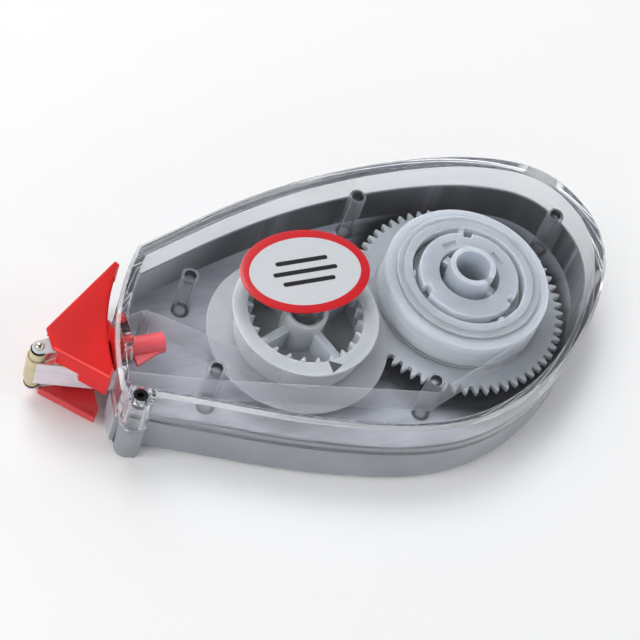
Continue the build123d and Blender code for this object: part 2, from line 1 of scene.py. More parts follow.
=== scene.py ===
"""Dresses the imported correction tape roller.

A grey tray and a clear cover hold two geared reels; a red head that rocks at the mouth
carries the tip roller. Every length below is in millimetres unless a name says otherwise.
"""
import sys
import json
import logging
import math
from contextlib import contextmanager
from dataclasses import dataclass, field
from enum import Enum
from functools import lru_cache
from typing import Callable, Dict, Iterator, Optional, Sequence, Tuple, Union

import bmesh
import bpy
from mathutils import Matrix, Vector


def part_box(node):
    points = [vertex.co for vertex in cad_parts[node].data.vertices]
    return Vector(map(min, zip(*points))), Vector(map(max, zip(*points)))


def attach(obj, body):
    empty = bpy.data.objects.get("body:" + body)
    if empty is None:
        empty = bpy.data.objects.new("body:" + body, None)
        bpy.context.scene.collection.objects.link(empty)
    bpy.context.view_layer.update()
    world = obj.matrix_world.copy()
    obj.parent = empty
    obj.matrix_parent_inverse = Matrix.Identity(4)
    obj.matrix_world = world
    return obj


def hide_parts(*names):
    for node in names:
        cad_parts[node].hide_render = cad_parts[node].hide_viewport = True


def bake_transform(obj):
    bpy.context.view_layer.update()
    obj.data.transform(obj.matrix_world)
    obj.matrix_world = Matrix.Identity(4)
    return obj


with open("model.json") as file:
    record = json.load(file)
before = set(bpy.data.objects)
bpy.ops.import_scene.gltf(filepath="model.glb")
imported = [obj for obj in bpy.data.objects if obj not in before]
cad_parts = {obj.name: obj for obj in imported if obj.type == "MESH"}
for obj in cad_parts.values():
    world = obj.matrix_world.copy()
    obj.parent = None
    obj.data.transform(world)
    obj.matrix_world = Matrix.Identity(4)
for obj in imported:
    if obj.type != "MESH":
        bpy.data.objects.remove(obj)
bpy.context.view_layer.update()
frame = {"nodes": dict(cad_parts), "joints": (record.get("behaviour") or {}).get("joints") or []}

MM = 0.001
FACES_UP = 0.9
Colour = Tuple[float, float, float, float]
Point = Tuple[float, float]
FaceTest = Callable[[Vector, Vector], bool]
NameTest = Callable[[bpy.types.MeshPolygon], str]

log = logging.getLogger("tape_roller")


# ------------------------------------------------------------------ names of the record
class Slot(Enum):
    """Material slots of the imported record."""

    SHELL = "shell_grey"
    COVER = "cover_clear"
    MILKY = "milky"
    TAPE = "tape_white"
    BACKING = "backing"
    HEAD = "head_red"
    STEEL = "clip_steel"
    YOKE = "yoke_white"
    ROLLER = "roller_tan"
    BADGE = "badge"
    PLUG = "plug_black"


class Body(Enum):
    """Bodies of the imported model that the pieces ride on."""

    CASE = "case"
    DRIVE = "supply_drive"
    SUPPLY = "supply_reel"
    TAKEUP = "takeup_reel"
    HEAD = "head"
    TIP = "tip_roller"


@lru_cache(maxsize=None)
def middle_of(node: str) -> Vector:
    """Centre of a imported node's box, in millimetres."""
    low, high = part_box(node)
    return (low + high) / 2 / MM


@lru_cache(maxsize=None)
def top_of(node: str) -> float:
    """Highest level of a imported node, in millimetres."""
    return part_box(node)[1].z / MM


@lru_cache(maxsize=None)
def foot_of(node: str) -> float:
    """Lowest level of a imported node, in millimetres."""
    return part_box(node)[0].z / MM


@lru_cache(maxsize=None)
def radius_of(node: str) -> float:
    """Radius of a packed round node, in millimetres."""
    low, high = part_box(node)
    return (high.x - low.x) / 2 / MM


@lru_cache(maxsize=None)
def mouth() -> float:
    """Where the case begins along X, at its mouth, in millimetres."""
    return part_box("back_shell")[0].x / MM


# ------------------------------------------------------------------ shader building
class Field:
    """A shader value that Python's own operators combine."""

    def __init__(self, graph: "Graph", socket: bpy.types.NodeSocket) -> None:
        """Keeps the output socket and the graph it belongs to."""
        self.graph = graph
        self.socket = socket

    def _math(self, operation: str, first: "Term", second: "Term" = 0.0) -> "Field":
        """The result of one new Math node."""
        return self.graph.add("ShaderNodeMath", {"operation": operation}, {0: first, 1: second})

    def __add__(self, other: "Term") -> "Field":
        """Sum."""
        return self._math("ADD", self, other)

    def __radd__(self, other: "Term") -> "Field":
        """Sum with the number on the left."""
        return self._math("ADD", other, self)

    def __sub__(self, other: "Term") -> "Field":
        """Difference."""
        return self._math("SUBTRACT", self, other)

    def __rsub__(self, other: "Term") -> "Field":
        """Difference with the number on the left."""
        return self._math("SUBTRACT", other, self)

    def __mul__(self, other: "Term") -> "Field":
        """Product."""
        return self._math("MULTIPLY", self, other)

    def __rmul__(self, other: "Term") -> "Field":
        """Product with the number on the left."""
        return self._math("MULTIPLY", other, self)

    def sine(self) -> "Field":
        """Sine of the value in radians."""
        return self._math("SINE", self)

    def root(self) -> "Field":
        """Square root."""
        return self._math("SQRT", self)

    def between(self, low: float, high: float) -> "Field":
        """Rises smoothly from 0 at low to 1 at high."""
        return self.graph.add(
            "ShaderNodeMapRange",
            {"interpolation_type": "SMOOTHSTEP"},
            {"Value": self, "From Min": low, "From Max": high},
        )


Term = Union[Field, float]


class Graph:
    """One material's node tree."""

    def __init__(self, name: str) -> None:
        """Starts an empty material."""
        self.material = bpy.data.materials.new(name)
        self.material.use_nodes = True
        self.tree = self.material.node_tree
        self.tree.nodes.clear()

    def add(
        self,
        kind: str,
        settings: Optional[Dict[str, object]] = None,
        inputs: Optional[Dict[Union[int, str], object]] = None,
        out: Union[int, str] = 0,
    ) -> Field:
        """Adds any node.

        Args:
            kind: the node's type name.
            settings: its own settings, set first.
            inputs: values or fields for its sockets.
            out: which output is wanted.

        Returns:
            The chosen output.
        """
        node = self.tree.nodes.new(kind)
        for key, value in (settings or {}).items():
            setattr(node, key, value)
        for key, value in (inputs or {}).items():
            self._feed(node.inputs[key], value)
        return Field(self, node.outputs[out])

    def _feed(self, socket: bpy.types.NodeSocket, value: object) -> None:
        """Links a field to a socket, or sets the socket's own value."""
        if isinstance(value, Field):
            self.tree.links.new(value.socket, socket)
        else:
            socket.default_value = value

    def place(
        self, centre: Sequence[float] = (0, 0, 0), stretch: Sequence[float] = (1, 1, 1)
    ) -> Field:
        """Object coordinates in millimetres, measured from a centre.

        Args:
            centre: origin of the pattern, in millimetres.
            stretch: extra scale along each axis.

        Returns:
            The placed vector.
        """
        coordinates = self.add("ShaderNodeTexCoord", out="Object")
        scale = [s / MM for s in stretch]
        shift = [-c * s for c, s in zip(centre, stretch)]
        return self.add(
            "ShaderNodeMapping", None, {"Vector": coordinates, "Location": shift, "Scale": scale}
        )

    def axes(self, place: Field) -> Tuple[Field, Field, Field]:
        """The three parts of a placed vector."""
        split = self.add("ShaderNodeSeparateXYZ", None, {0: place}).socket.node
        return tuple(Field(self, output) for output in split.outputs)

    def about(self, axis: Point) -> Tuple[Field, Field, Field]:
        """Measures a pattern from an upright axis.

        Args:
            axis: the axis' X and Y, in millimetres.

        Returns:
            The placed vector, the distance from the axis, and the height.
        """
        place = self.place((*axis, 0))
        x, y, z = self.axes(place)
        return place, (x * x + y * y).root(), z

    def noise(self, place: Field, scale: float, detail: float = 2.0) -> Field:
        """Soft noise from 0 to 1, with scale in cycles for each millimetre."""
        return self.add(
            "ShaderNodeTexNoise", None, {"Vector": place, "Scale": scale, "Detail": detail}
        )

    def mix(self, share: Term, first: object, second: object) -> Field:
        """A colour between two colours."""
        return self.add(
            "ShaderNodeMix", {"data_type": "RGBA"}, {0: share, 6: first, 7: second}, out=2
        )

    def bump(self, height: Field, depth: float) -> Field:
        """A bumped normal whose height of 1 is depth millimetres."""
        inputs = {"Height": height, "Distance": depth * MM, "Strength": 1.0}
        return self.add("ShaderNodeBump", None, inputs)

    def principled(self, **inputs: object) -> Field:
        """The main shader, with underscores in the names standing for spaces."""
        named = {key.replace("_", " "): value for key, value in inputs.items()}
        return self.add("ShaderNodeBsdfPrincipled", None, named)

    def finish(self, surface: Field) -> bpy.types.Material:
        """Sends a shader to the output and returns the material."""
        output = self.tree.nodes.new("ShaderNodeOutputMaterial")
        self.tree.links.new(surface.socket, output.inputs["Surface"])
        return self.material


# ------------------------------------------------------------------ finishes
@dataclass(frozen=True)
class MouldedPlastic:
    """Opaque moulded plastic: slight mottling, fine grain and handling marks."""

    name: str
    colour: Colour
    shade: Colour
    roughness: float = 0.32
    spread: float = 0.10
    grain: float = 9.0
    grain_depth: float = 0.004
    glow: float = 0.0
    gloss: float = 0.5

    def material(self) -> bpy.types.Material:
        """Builds the node tree."""
        graph = Graph(self.name)
        place = graph.place()
        cloud = graph.noise(place, 0.16, 3.0)
        speck = graph.noise(place, self.grain, 2.0)
        marks = graph.noise(graph.place(stretch=(0.5, 6.0, 1.0)), 0.9, 3.0)
        colour = graph.mix(cloud.between(0.3, 0.7), self.colour, self.shade)
        roughness = self.roughness + (marks - 0.5) * self.spread + (speck - 0.5) * 0.04
        shader = graph.principled(
            Base_Color=colour,
            Roughness=roughness,
            Normal=graph.bump(speck, self.grain_depth),
            Specular_IOR_Level=self.gloss,
            Subsurface_Weight=self.glow,
            Subsurface_Radius=(1.0, 0.35, 0.25),
            Subsurface_Scale=0.8 * MM,
        )
        return graph.finish(shader)


@dataclass(frozen=True)
class ShadedFloor:
    """Polished tray floor with painted shade in the tight space round the big gear and broad streaks of
    painted reflection.
    """

    name: str
    axis: Point
    colour: Colour
    gear_shade: Colour
    near: float = 15.2
    far: float = 18.6
    wander: float = 2.4
    painted_streak_dim: float = 0.72
    roughness: float = 0.13

    def material(self) -> bpy.types.Material:
        """Builds the node tree."""
        graph = Graph(self.name)
        place, radius, _ = graph.about(self.axis)
        streak = graph.noise(graph.place(stretch=(0.25, 1.6, 1.0)), 0.35, 3.0)
        fine = graph.noise(place, 7.0, 2.0)
        # Painted shade: dark in a ring round the big gear.
        share = (radius + (streak - 0.5) * self.wander).between(self.near, self.far)
        # Broad streaks of painted reflection, darker by a share of the colour.
        shade = (streak * 0.8 + fine * 0.2).between(0.35, 0.7)
        painted_streak = tuple(c * self.painted_streak_dim for c in self.colour[:3]) + (1,)
        lit = graph.mix(shade, self.colour, painted_streak)
        shader = graph.principled(
            Base_Color=graph.mix(share, self.gear_shade, lit),
            Roughness=self.roughness + (streak - 0.5) * 0.12,
            Normal=graph.bump(fine, 0.002),
            Specular_IOR_Level=0.45,
        )
        return graph.finish(shader)


@dataclass(frozen=True)
class TubePlastic:
    """Glossy see-through plastic of the posts, with painted shade darkening each hole near its mouth."""

    name: str
    colour: Colour
    bore_shade: Colour
    opacity: float
    shade_from: float = 7.4
    shade_to: float = 8.3
    shade_share: float = 1.0

    def material(self) -> bpy.types.Material:
        """Builds the node tree."""
        graph = Graph(self.name)
        place = graph.place()
        level = graph.axes(place)[2]
        fine = graph.noise(place, 5.0, 2.0)
        flow = graph.noise(graph.place(stretch=(1.0, 1.0, 0.2)), 1.3, 2.0)
        # Painted shade: dark near the mouth of each hole.
        dark = level.between(self.shade_from, self.shade_to) * self.shade_share
        shader = graph.principled(
            Base_Color=graph.mix(dark, self.colour, self.bore_shade),
            Roughness=0.08 + fine * 0.05,
            Normal=graph.bump(fine, 0.002),
            Alpha=dark * (1.0 - self.opacity) + self.opacity + (flow - 0.5) * 0.12,
            Specular_IOR_Level=0.7,
        )
        return graph.finish(shader)


@dataclass(frozen=True)
class GlossyWall:
    """Glossy inner wall in painted shade: a dark copy of the tray's grey, with broad lighter upright streaks
    of painted reflection and painted light making it paler towards the mouth.
    """

    name: str
    colour: Colour
    streak: Colour
    pale: Colour
    pale_span: Point = (-27.0, -44.0)
    roughness: float = 0.16

    def material(self) -> bpy.types.Material:
        """Builds the node tree."""
        graph = Graph(self.name)
        place = graph.place(stretch=(1.0, 1.0, 0.06))
        broad = graph.noise(place, 0.085, 2.0)
        fine = graph.noise(place, 0.7, 3.0)
        # Broad lighter upright streaks: painted reflections.
        share = (broad * 0.8 + fine * 0.2).between(0.5, 0.68)
        near, far = self.pale_span
        # Paler towards the mouth: painted light.
        mouth = (graph.axes(graph.place())[0] * -1.0).between(-near, -far)
        shader = graph.principled(
            Base_Color=graph.mix(mouth, graph.mix(share, self.colour, self.streak), self.pale),
            Roughness=self.roughness + (fine - 0.5) * 0.12,
            Normal=graph.bump(fine, 0.003),
            Specular_IOR_Level=0.3,
        )
        return graph.finish(shader)


@dataclass(frozen=True)
class MilkyPlastic:
    """Natural, slightly see-through plastic of the gears and spools."""

    name: str
    colour: Colour
    shade: Colour
    roughness: float = 0.36
    flow: float = 0.22

    def material(self) -> bpy.types.Material:
        """Builds the node tree."""
        graph = Graph(self.name)
        place = graph.place()
        cloud = graph.noise(place, self.flow, 3.0)
        fine = graph.noise(place, 5.0, 2.0)
        colour = graph.mix(cloud.between(0.32, 0.68), self.colour, self.shade)
        shader = graph.principled(
            Base_Color=colour,
            Roughness=self.roughness + (cloud - 0.5) * 0.14 + (fine - 0.5) * 0.05,
            Normal=graph.bump(fine, 0.003),
            Subsurface_Weight=1.0,
            Subsurface_Radius=(1.0, 1.05, 1.15),
            Subsurface_Scale=2.6 * MM,
        )
        return graph.finish(shader)


@dataclass(frozen=True)
class ClearPlastic:
    """Clear styrene of the cover, which lets lamps through to the parts inside."""

    name: str
    colour: Colour
    haze: Colour
    lamp_tint: Colour = (0.93, 0.94, 0.95, 1)
    roughness: float = 0.015
    ior: float = 1.2

    def material(self) -> bpy.types.Material:
        """Builds the node tree."""
        graph = Graph(self.name)
        place = graph.place()
        flow = graph.noise(place, 0.11, 2.0)
        marks = graph.noise(graph.place(stretch=(0.6, 5.0, 1.0)), 0.8, 3.0)
        glass = graph.principled(
            Base_Color=graph.mix(flow.between(0.35, 0.65), self.colour, self.haze),
            Roughness=self.roughness + marks.between(0.55, 0.8) * 0.02,
            IOR=self.ior,
            Transmission_Weight=1.0,
            Coat_Weight=0.8,
            Coat_Roughness=0.02,
        )
        open_air = graph.add("ShaderNodeBsdfTransparent", None, {"Color": self.lamp_tint})
        lamp_ray = graph.add("ShaderNodeLightPath", out="Is Shadow Ray")
        surface = graph.add("ShaderNodeMixShader", None, {0: lamp_ray, 1: glass, 2: open_air})
        return graph.finish(surface)


@dataclass(frozen=True)
class WoundTape:
    """Side and face of a tight winding, with one faint ring for each few turns; the side's lighter colour is
    painted light.
    """

    name: str
    axis: Point
    colour: Colour
    seam: Colour
    side: Colour
    top: float = 8.1
    edge: Point = (0.16, 0.03)
    pitch: float = 0.24
    roughness: float = 0.5

    def material(self) -> bpy.types.Material:
        """Builds the node tree."""
        graph = Graph(self.name)
        place, radius, z = graph.about(self.axis)
        wander = graph.noise(place, 0.5, 2.0)
        turns = (radius * (2 * math.pi / self.pitch) + wander * 3.0).sine() * 0.5 + 0.5
        band = graph.noise(graph.place(stretch=(0.2, 0.2, 6.0)), 0.6, 2.0)
        face = graph.mix(turns * 0.45 + band * 0.25, self.colour, self.seam)
        # The side is lighter than the face: painted light.
        wound = graph.mix(band.between(0.35, 0.7) * 0.4, self.side, self.colour)
        on_face = z.between(self.top - self.edge[0], self.top - self.edge[1])
        colour = graph.mix(on_face, wound, face)
        shader = graph.principled(
            Base_Color=colour,
            Roughness=self.roughness + (band - 0.5) * 0.12,
            Normal=graph.bump(turns, 0.012),
            Subsurface_Weight=1.0,
            Subsurface_Radius=(1.0, 1.0, 1.1),
            Subsurface_Scale=2.2 * MM,
        )
        return graph.finish(shader)


@dataclass(frozen=True)
class ThinFilm:
    """Thin streaked film or skin: free tape, its backing, and pale faces that are partly see-through; on the
    cover's rim the white veil is a painted highlight.
    """

    name: str
    colour: Colour
    shade: Colour
    open_share: float = 0.0
    roughness: float = 0.38

    def material(self) -> bpy.types.Material:
        """Builds the node tree."""
        graph = Graph(self.name)
        streak = graph.noise(graph.place(stretch=(0.25, 0.25, 7.0)), 0.8, 3.0)
        cloud = graph.noise(graph.place(), 0.7, 2.0)
        colour = graph.mix((streak * 0.6 + cloud * 0.4).between(0.35, 0.65), self.colour, self.shade)
        shader = graph.principled(
            Base_Color=colour,
            Roughness=self.roughness + (streak - 0.5) * 0.15,
            Normal=graph.bump(streak, 0.004),
            Alpha=1.0 - self.open_share,
        )
        return graph.finish(shader)


@dataclass(frozen=True)
class TurnedMetal:
    """Steel turned on a lathe, with rings about an upright axis."""

    name: str
    axis: Point
    colour: Colour
    shade: Colour
    ring_pitch: float = 60.0
    roughness: float = 0.22

    def material(self) -> bpy.types.Material:
        """Builds the node tree."""
        graph = Graph(self.name)
        place, radius, z = graph.about(self.axis)
        rings = ((radius + z) * self.ring_pitch).sine() * 0.5 + 0.5
        cloud = graph.noise(place, 1.4, 3.0)
        shader = graph.principled(
            Base_Color=graph.mix(cloud.between(0.3, 0.7), self.colour, self.shade),
            Metallic=1.0,
            Roughness=self.roughness + (cloud - 0.5) * 0.15 + (rings - 0.5) * 0.04,
            Normal=graph.bump(rings, 0.002),
        )
        return graph.finish(shader)


@dataclass(frozen=True)
class PrintedSkin:
    """Printed label stock under a thin gloss varnish."""

    name: str
    colour: Colour
    shade: Colour
    roughness: float = 0.3

    def material(self) -> bpy.types.Material:
        """Builds the node tree."""
        graph = Graph(self.name)
        place = graph.place()
        fibre = graph.noise(place, 6.0, 3.0)
        cloud = graph.noise(place, 0.35, 2.0)
        shader = graph.principled(
            Base_Color=graph.mix(fibre.between(0.4, 0.6) * 0.5 + cloud * 0.3, self.colour, self.shade),
            Roughness=self.roughness + (fibre - 0.5) * 0.12,
            Normal=graph.bump(fibre, 0.002),
            Coat_Weight=0.4,
            Coat_Roughness=0.08,
        )
        return graph.finish(shader)


@dataclass
class Finishes:
    """Every finish of the roller, made once."""

    supply_axis: Vector
    takeup_axis: Vector
    tip_axis: Vector
    made: Dict[str, bpy.types.Material] = field(default_factory=dict)

    def __post_init__(self) -> None:
        """Builds all the materials."""
        supply = (self.supply_axis.x, self.supply_axis.y)
        takeup = (self.takeup_axis.x, self.takeup_axis.y)
        tip = (self.tip_axis.x, self.tip_axis.y)
        for finish in (
            MouldedPlastic("tray_outside", (0.27, 0.285, 0.315, 1), (0.235, 0.245, 0.275, 1), 0.24),
            # The floor's near-black colour is painted shade round the big gear.
            ShadedFloor("tray_floor", supply, (0.52, 0.54, 0.60, 1), (0.02, 0.021, 0.025, 1)),
            # The inner wall's dark grey is painted shade, its lighter streak colour painted reflection and
            # its pale colour painted light.
            GlossyWall(
                "tray_inner_wall",
                (0.075, 0.077, 0.085, 1),
                (0.21, 0.215, 0.23, 1),
                (0.60, 0.61, 0.64, 1),
            ),
            ThinFilm("tray_front", (0.60, 0.60, 0.64, 1), (0.52, 0.52, 0.56, 1), 0.25, 0.12),
            # The holes' dark colour and near-black mouths, and the posts' slight darkening near their tops,
            # are painted shade.
            TubePlastic("tray_posts", (0.36, 0.36, 0.39, 1), (0.2, 0.2, 0.22, 1), 0.24, shade_share=0.1),
            TubePlastic("tray_holes", (0.12, 0.12, 0.13, 1), (0.003, 0.003, 0.004, 1), 0.14),
            # Near-black for the corner plug and the roller's collars: painted shade of the hole's mouth and
            # of the gaps at the roller's ends.
            MouldedPlastic("plug_black", (0.002, 0.002, 0.002, 1), (0.004, 0.004, 0.005, 1), 0.4, gloss=0.2),
            ClearPlastic("cover_clear_styrene", (0.955, 0.965, 0.98, 1), (0.935, 0.945, 0.965, 1)),
            # A white, partly see-through veil on the cover's rim: painted highlight.
            ThinFilm("cover_rim", (0.93, 0.94, 0.96, 1), (0.86, 0.88, 0.91, 1), 0.62, 0.05),
            MilkyPlastic("milky_gear", (0.50, 0.525, 0.565, 1), (0.43, 0.46, 0.50, 1)),
            MilkyPlastic("milky_spool", (0.44, 0.465, 0.505, 1), (0.39, 0.415, 0.455, 1), 0.3),
            MilkyPlastic("milky_drum", (0.56, 0.585, 0.625, 1), (0.50, 0.525, 0.565, 1), 0.3),
            MilkyPlastic("milky_clutch", (0.46, 0.485, 0.525, 1), (0.40, 0.425, 0.465, 1), 0.3),
            # A lighter milky colour for the well's walls: painted light where shade falls.
            MilkyPlastic("milky_well", (0.66, 0.69, 0.73, 1), (0.60, 0.63, 0.67, 1), 0.4),
            MouldedPlastic("ring_rubber", (0.02, 0.02, 0.022, 1), (0.035, 0.035, 0.038, 1), 0.62),
            # The windings' sides are lighter than their faces: painted light.
            WoundTape(
                "fresh_winding",
                supply,
                (0.52, 0.55, 0.60, 1),
                (0.46, 0.49, 0.54, 1),
                (0.74, 0.765, 0.80, 1),
            ),
            WoundTape(
                "used_winding",
                takeup,
                (0.56, 0.585, 0.63, 1),
                (0.46, 0.485, 0.53, 1),
                (0.72, 0.74, 0.78, 1),
                pitch=0.16,
            ),
            ThinFilm("fresh_tape_film", (0.74, 0.66, 0.71, 1), (0.62, 0.56, 0.62, 1)),
            ThinFilm("fresh_tape_inside", (0.70, 0.71, 0.75, 1), (0.60, 0.61, 0.66, 1), 0.72),
            ThinFilm("tape_liner", (0.56, 0.50, 0.32, 1), (0.48, 0.42, 0.25, 1)),
            ThinFilm("used_backing_film", (0.60, 0.61, 0.65, 1), (0.50, 0.51, 0.56, 1), 0.8),
            MouldedPlastic(
                "head_red", (0.72, 0.008, 0.008, 1), (0.60, 0.006, 0.006, 1), 0.3, glow=0.05, gloss=0.25
            ),
            # A lighter red on the rounded crease of the top plate: painted highlight.
            MouldedPlastic(
                "head_crease", (0.90, 0.085, 0.075, 1), (0.84, 0.06, 0.055, 1), 0.3, glow=0.1
            ),
            # A darker, duller red for the lower plate: painted shade under the top plate.
            MouldedPlastic(
                "head_low", (0.62, 0.034, 0.038, 1), (0.54, 0.030, 0.034, 1), 0.22, gloss=0.6
            ),
            # A lighter pink for the shank inside the case: painted reflection seen through the cover.
            MouldedPlastic(
                "shank_rose", (0.80, 0.10, 0.12, 1), (0.74, 0.085, 0.10, 1), 0.3, glow=0.2
            ),
            MouldedPlastic("yoke_white", (0.60, 0.60, 0.63, 1), (0.50, 0.50, 0.54, 1), 0.35),
            MouldedPlastic("roller_tan", (0.58, 0.51, 0.32, 1), (0.48, 0.42, 0.25, 1), 0.55, grain=14),
            TurnedMetal("pin_steel", tip, (0.70, 0.66, 0.58, 1), (0.46, 0.43, 0.38, 1)),
            PrintedSkin("label_field", (0.66, 0.68, 0.71, 1), (0.60, 0.62, 0.66, 1)),
            PrintedSkin("label_frame", (0.66, 0.012, 0.020, 1), (0.58, 0.010, 0.017, 1)),
            PrintedSkin("label_grey", (0.075, 0.078, 0.09, 1), (0.09, 0.094, 0.105, 1)),
            PrintedSkin("label_ink", (0.008, 0.008, 0.01, 1), (0.015, 0.015, 0.018, 1)),
        ):
            self.made[finish.name] = finish.material()

    def __getitem__(self, name: str) -> bpy.types.Material:
        """A finish by its name."""
        return self.made[name]


# ------------------------------------------------------------------ modelling moves
class Bench:
    """The few modelling moves that the pieces share, with their widths in mm and angles in degrees."""

    MERGE_COPIED = 0.0015
    MERGE_TURNED = 0.002
    FLAT_WITHIN = 0.4
    SMOOTH_BELOW = 40.0
    CUSP = 32.0
    ROUNDING_RINGS = 2
    INK_RISE = 0.02
    WEIGHT_BY_AREA = 100

    @staticmethod
    def pick(piece: bpy.types.Object) -> bpy.types.Object:
        """Leaves one piece selected and active, in object mode."""
        if bpy.context.mode != "OBJECT":
            bpy.ops.object.mode_set(mode="OBJECT")
        bpy.ops.object.select_all(action="DESELECT")
        piece.select_set(True)
        bpy.context.view_layer.objects.active = piece
        return piece

    @staticmethod
    def clear() -> None:
        """Deselects everything, in object mode."""
        if bpy.context.mode != "OBJECT":
            bpy.ops.object.mode_set(mode="OBJECT")
        bpy.ops.object.select_all(action="DESELECT")

    @classmethod
    @contextmanager
    def editing(cls, piece: bpy.types.Object, mode: str = "FACE") -> Iterator[None]:
        """Opens a piece in edit mode with nothing selected, and closes it after."""
        cls.pick(piece)
        bpy.ops.object.mode_set(mode="EDIT")
        bpy.ops.mesh.select_mode(type=mode)
        bpy.ops.mesh.select_all(action="DESELECT")
        yield
        bpy.ops.object.mode_set(mode="OBJECT")

    @staticmethod
    def choose_faces(piece: bpy.types.Object, test: FaceTest) -> None:
        """Selects the faces whose centre, in millimetres, and normal pass a test.

        Args:
            piece: the piece open in edit mode.
            test: takes the face's centre and its normal.
        """
        mesh = bmesh.from_edit_mesh(piece.data)
        for face in mesh.faces:
            face.select_set(test(face.calc_center_median() / MM, face.normal))
        bmesh.update_edit_mesh(piece.data)

    @staticmethod
    def rise(distance: float) -> None:
        """Moves what is selected up by a distance in millimetres."""
        bpy.ops.transform.translate(value=(0, 0, distance * MM))

    @staticmethod
    def paint(
        piece: bpy.types.Object, finishes: "Finishes", names: Sequence[str], name_of: NameTest
    ) -> None:
        """Gives each face of a piece one of several finishes.

        Args:
            piece: the piece, with no finish yet.
            finishes: every finish of the roller.
            names: names of the finishes, in the order of the piece's slots.
            name_of: takes a face of the piece, and returns one of the names.
        """
        chosen = [names.index(name_of(face)) for face in piece.data.polygons]
        for name in names:
            piece.data.materials.append(finishes[name])
        for face, slot in zip(piece.data.polygons, chosen):
            face.material_index = slot

    @classmethod
    def thicken_print(cls, rounding: float, segments: int) -> None:
        """Rounds the corners of a flat printed shape open in edit mode, and gives it thickness.

        Args:
            rounding: size of the rounding in millimetres.
            segments: segments round each corner.
        """
        bpy.ops.mesh.select_all(action="SELECT")
        bpy.ops.mesh.bevel(offset=rounding * MM, segments=segments, affect="VERTICES")
        bpy.ops.mesh.select_all(action="SELECT")
        bpy.ops.mesh.extrude_region_move(TRANSFORM_OT_translate={"value": (0, 0, cls.INK_RISE * MM)})
        bpy.ops.mesh.select_all(action="SELECT")
        bpy.ops.mesh.normals_make_consistent(inside=False)

    @staticmethod
    def choose_verts(piece: bpy.types.Object, test: Callable[[Vector], bool]) -> None:
        """Selects the corners whose place, in millimetres, passes a test."""
        mesh = bmesh.from_edit_mesh(piece.data)
        for corner in mesh.verts:
            corner.select_set(test(corner.co / MM))
        mesh.select_flush(True)
        bmesh.update_edit_mesh(piece.data)

    @classmethod
    def copied(cls, node: str, name: str) -> bpy.types.Object:
        """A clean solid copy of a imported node's mesh.

        Args:
            node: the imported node.
            name: the new piece's name.

        Returns:
            The copy, its triangles merged and flat faces made whole.
        """
        piece = bpy.data.objects.new(name, frame["nodes"][node].data.copy())
        bpy.context.scene.collection.objects.link(piece)
        cls.pick(piece)
        bpy.ops.mesh.customdata_custom_splitnormals_clear()
        piece.data.materials.clear()
        with cls.editing(piece, "VERT"):
            bpy.ops.mesh.select_all(action="SELECT")
            bpy.ops.mesh.remove_doubles(threshold=cls.MERGE_COPIED * MM)
            bpy.ops.mesh.dissolve_limited(angle_limit=math.radians(cls.FLAT_WITHIN))
            bpy.ops.mesh.select_all(action="DESELECT")
        return piece

    @classmethod
    def modify(cls, piece: bpy.types.Object, kind: str, **settings: object) -> None:
        """Adds a modifier with its settings and applies it."""
        cls.pick(piece)
        bpy.ops.object.modifier_add(type=kind)
        modifier = piece.modifiers[-1]
        for key, value in settings.items():
            setattr(modifier, key, value)
        bpy.ops.object.modifier_apply(modifier=modifier.name)

    @classmethod
    def soften(cls, piece: bpy.types.Object, width: float, above: float = 35.0) -> None:
        """Rounds the sharp edges as a mould would, leaving cusps alone.

        Args:
            piece: the piece to round.
            width: width of the rounding in millimetres.
            above: edges sharper than this many degrees are rounded.
        """
        with cls.editing(piece, "EDGE"):
            bpy.ops.mesh.edges_select_sharp(sharpness=math.radians(above))
            cls._leave_cusps(piece)
            bpy.ops.mesh.bevel(
                offset=width * MM,
                segments=cls.ROUNDING_RINGS,
                affect="EDGES",
                clamp_overlap=False,
                miter_outer="ARC",
                loop_slide=True,
            )
        cls.smooth(piece, cls.SMOOTH_BELOW)
        cls.modify(piece, "WEIGHTED_NORMAL", weight=cls.WEIGHT_BY_AREA, keep_sharp=True)

    @classmethod
    def _leave_cusps(cls, piece: bpy.types.Object) -> None:
        """Deselects edges that meet another chosen edge at a narrow angle."""
        mesh = bmesh.from_edit_mesh(piece.data)
        spared = set()
        for corner in mesh.verts:
            chosen = [edge for edge in corner.link_edges if edge.select]
            ways = [(edge, edge.other_vert(corner).co - corner.co) for edge in chosen]
            for index, (edge, way) in enumerate(ways):
                for other, other_way in ways[index + 1 :]:
                    if way.angle(other_way, math.pi) < math.radians(cls.CUSP):
                        spared.update((edge, other))
        for edge in spared:
            edge.select_set(False)
        bmesh.update_edit_mesh(piece.data)

    @classmethod
    def smooth(cls, piece: bpy.types.Object, angle: float = 32.0) -> None:
        """Shades the piece smooth but for edges sharper than the angle."""
        cls.pick(piece)
        bpy.ops.object.shade_smooth_by_angle(angle=math.radians(angle))

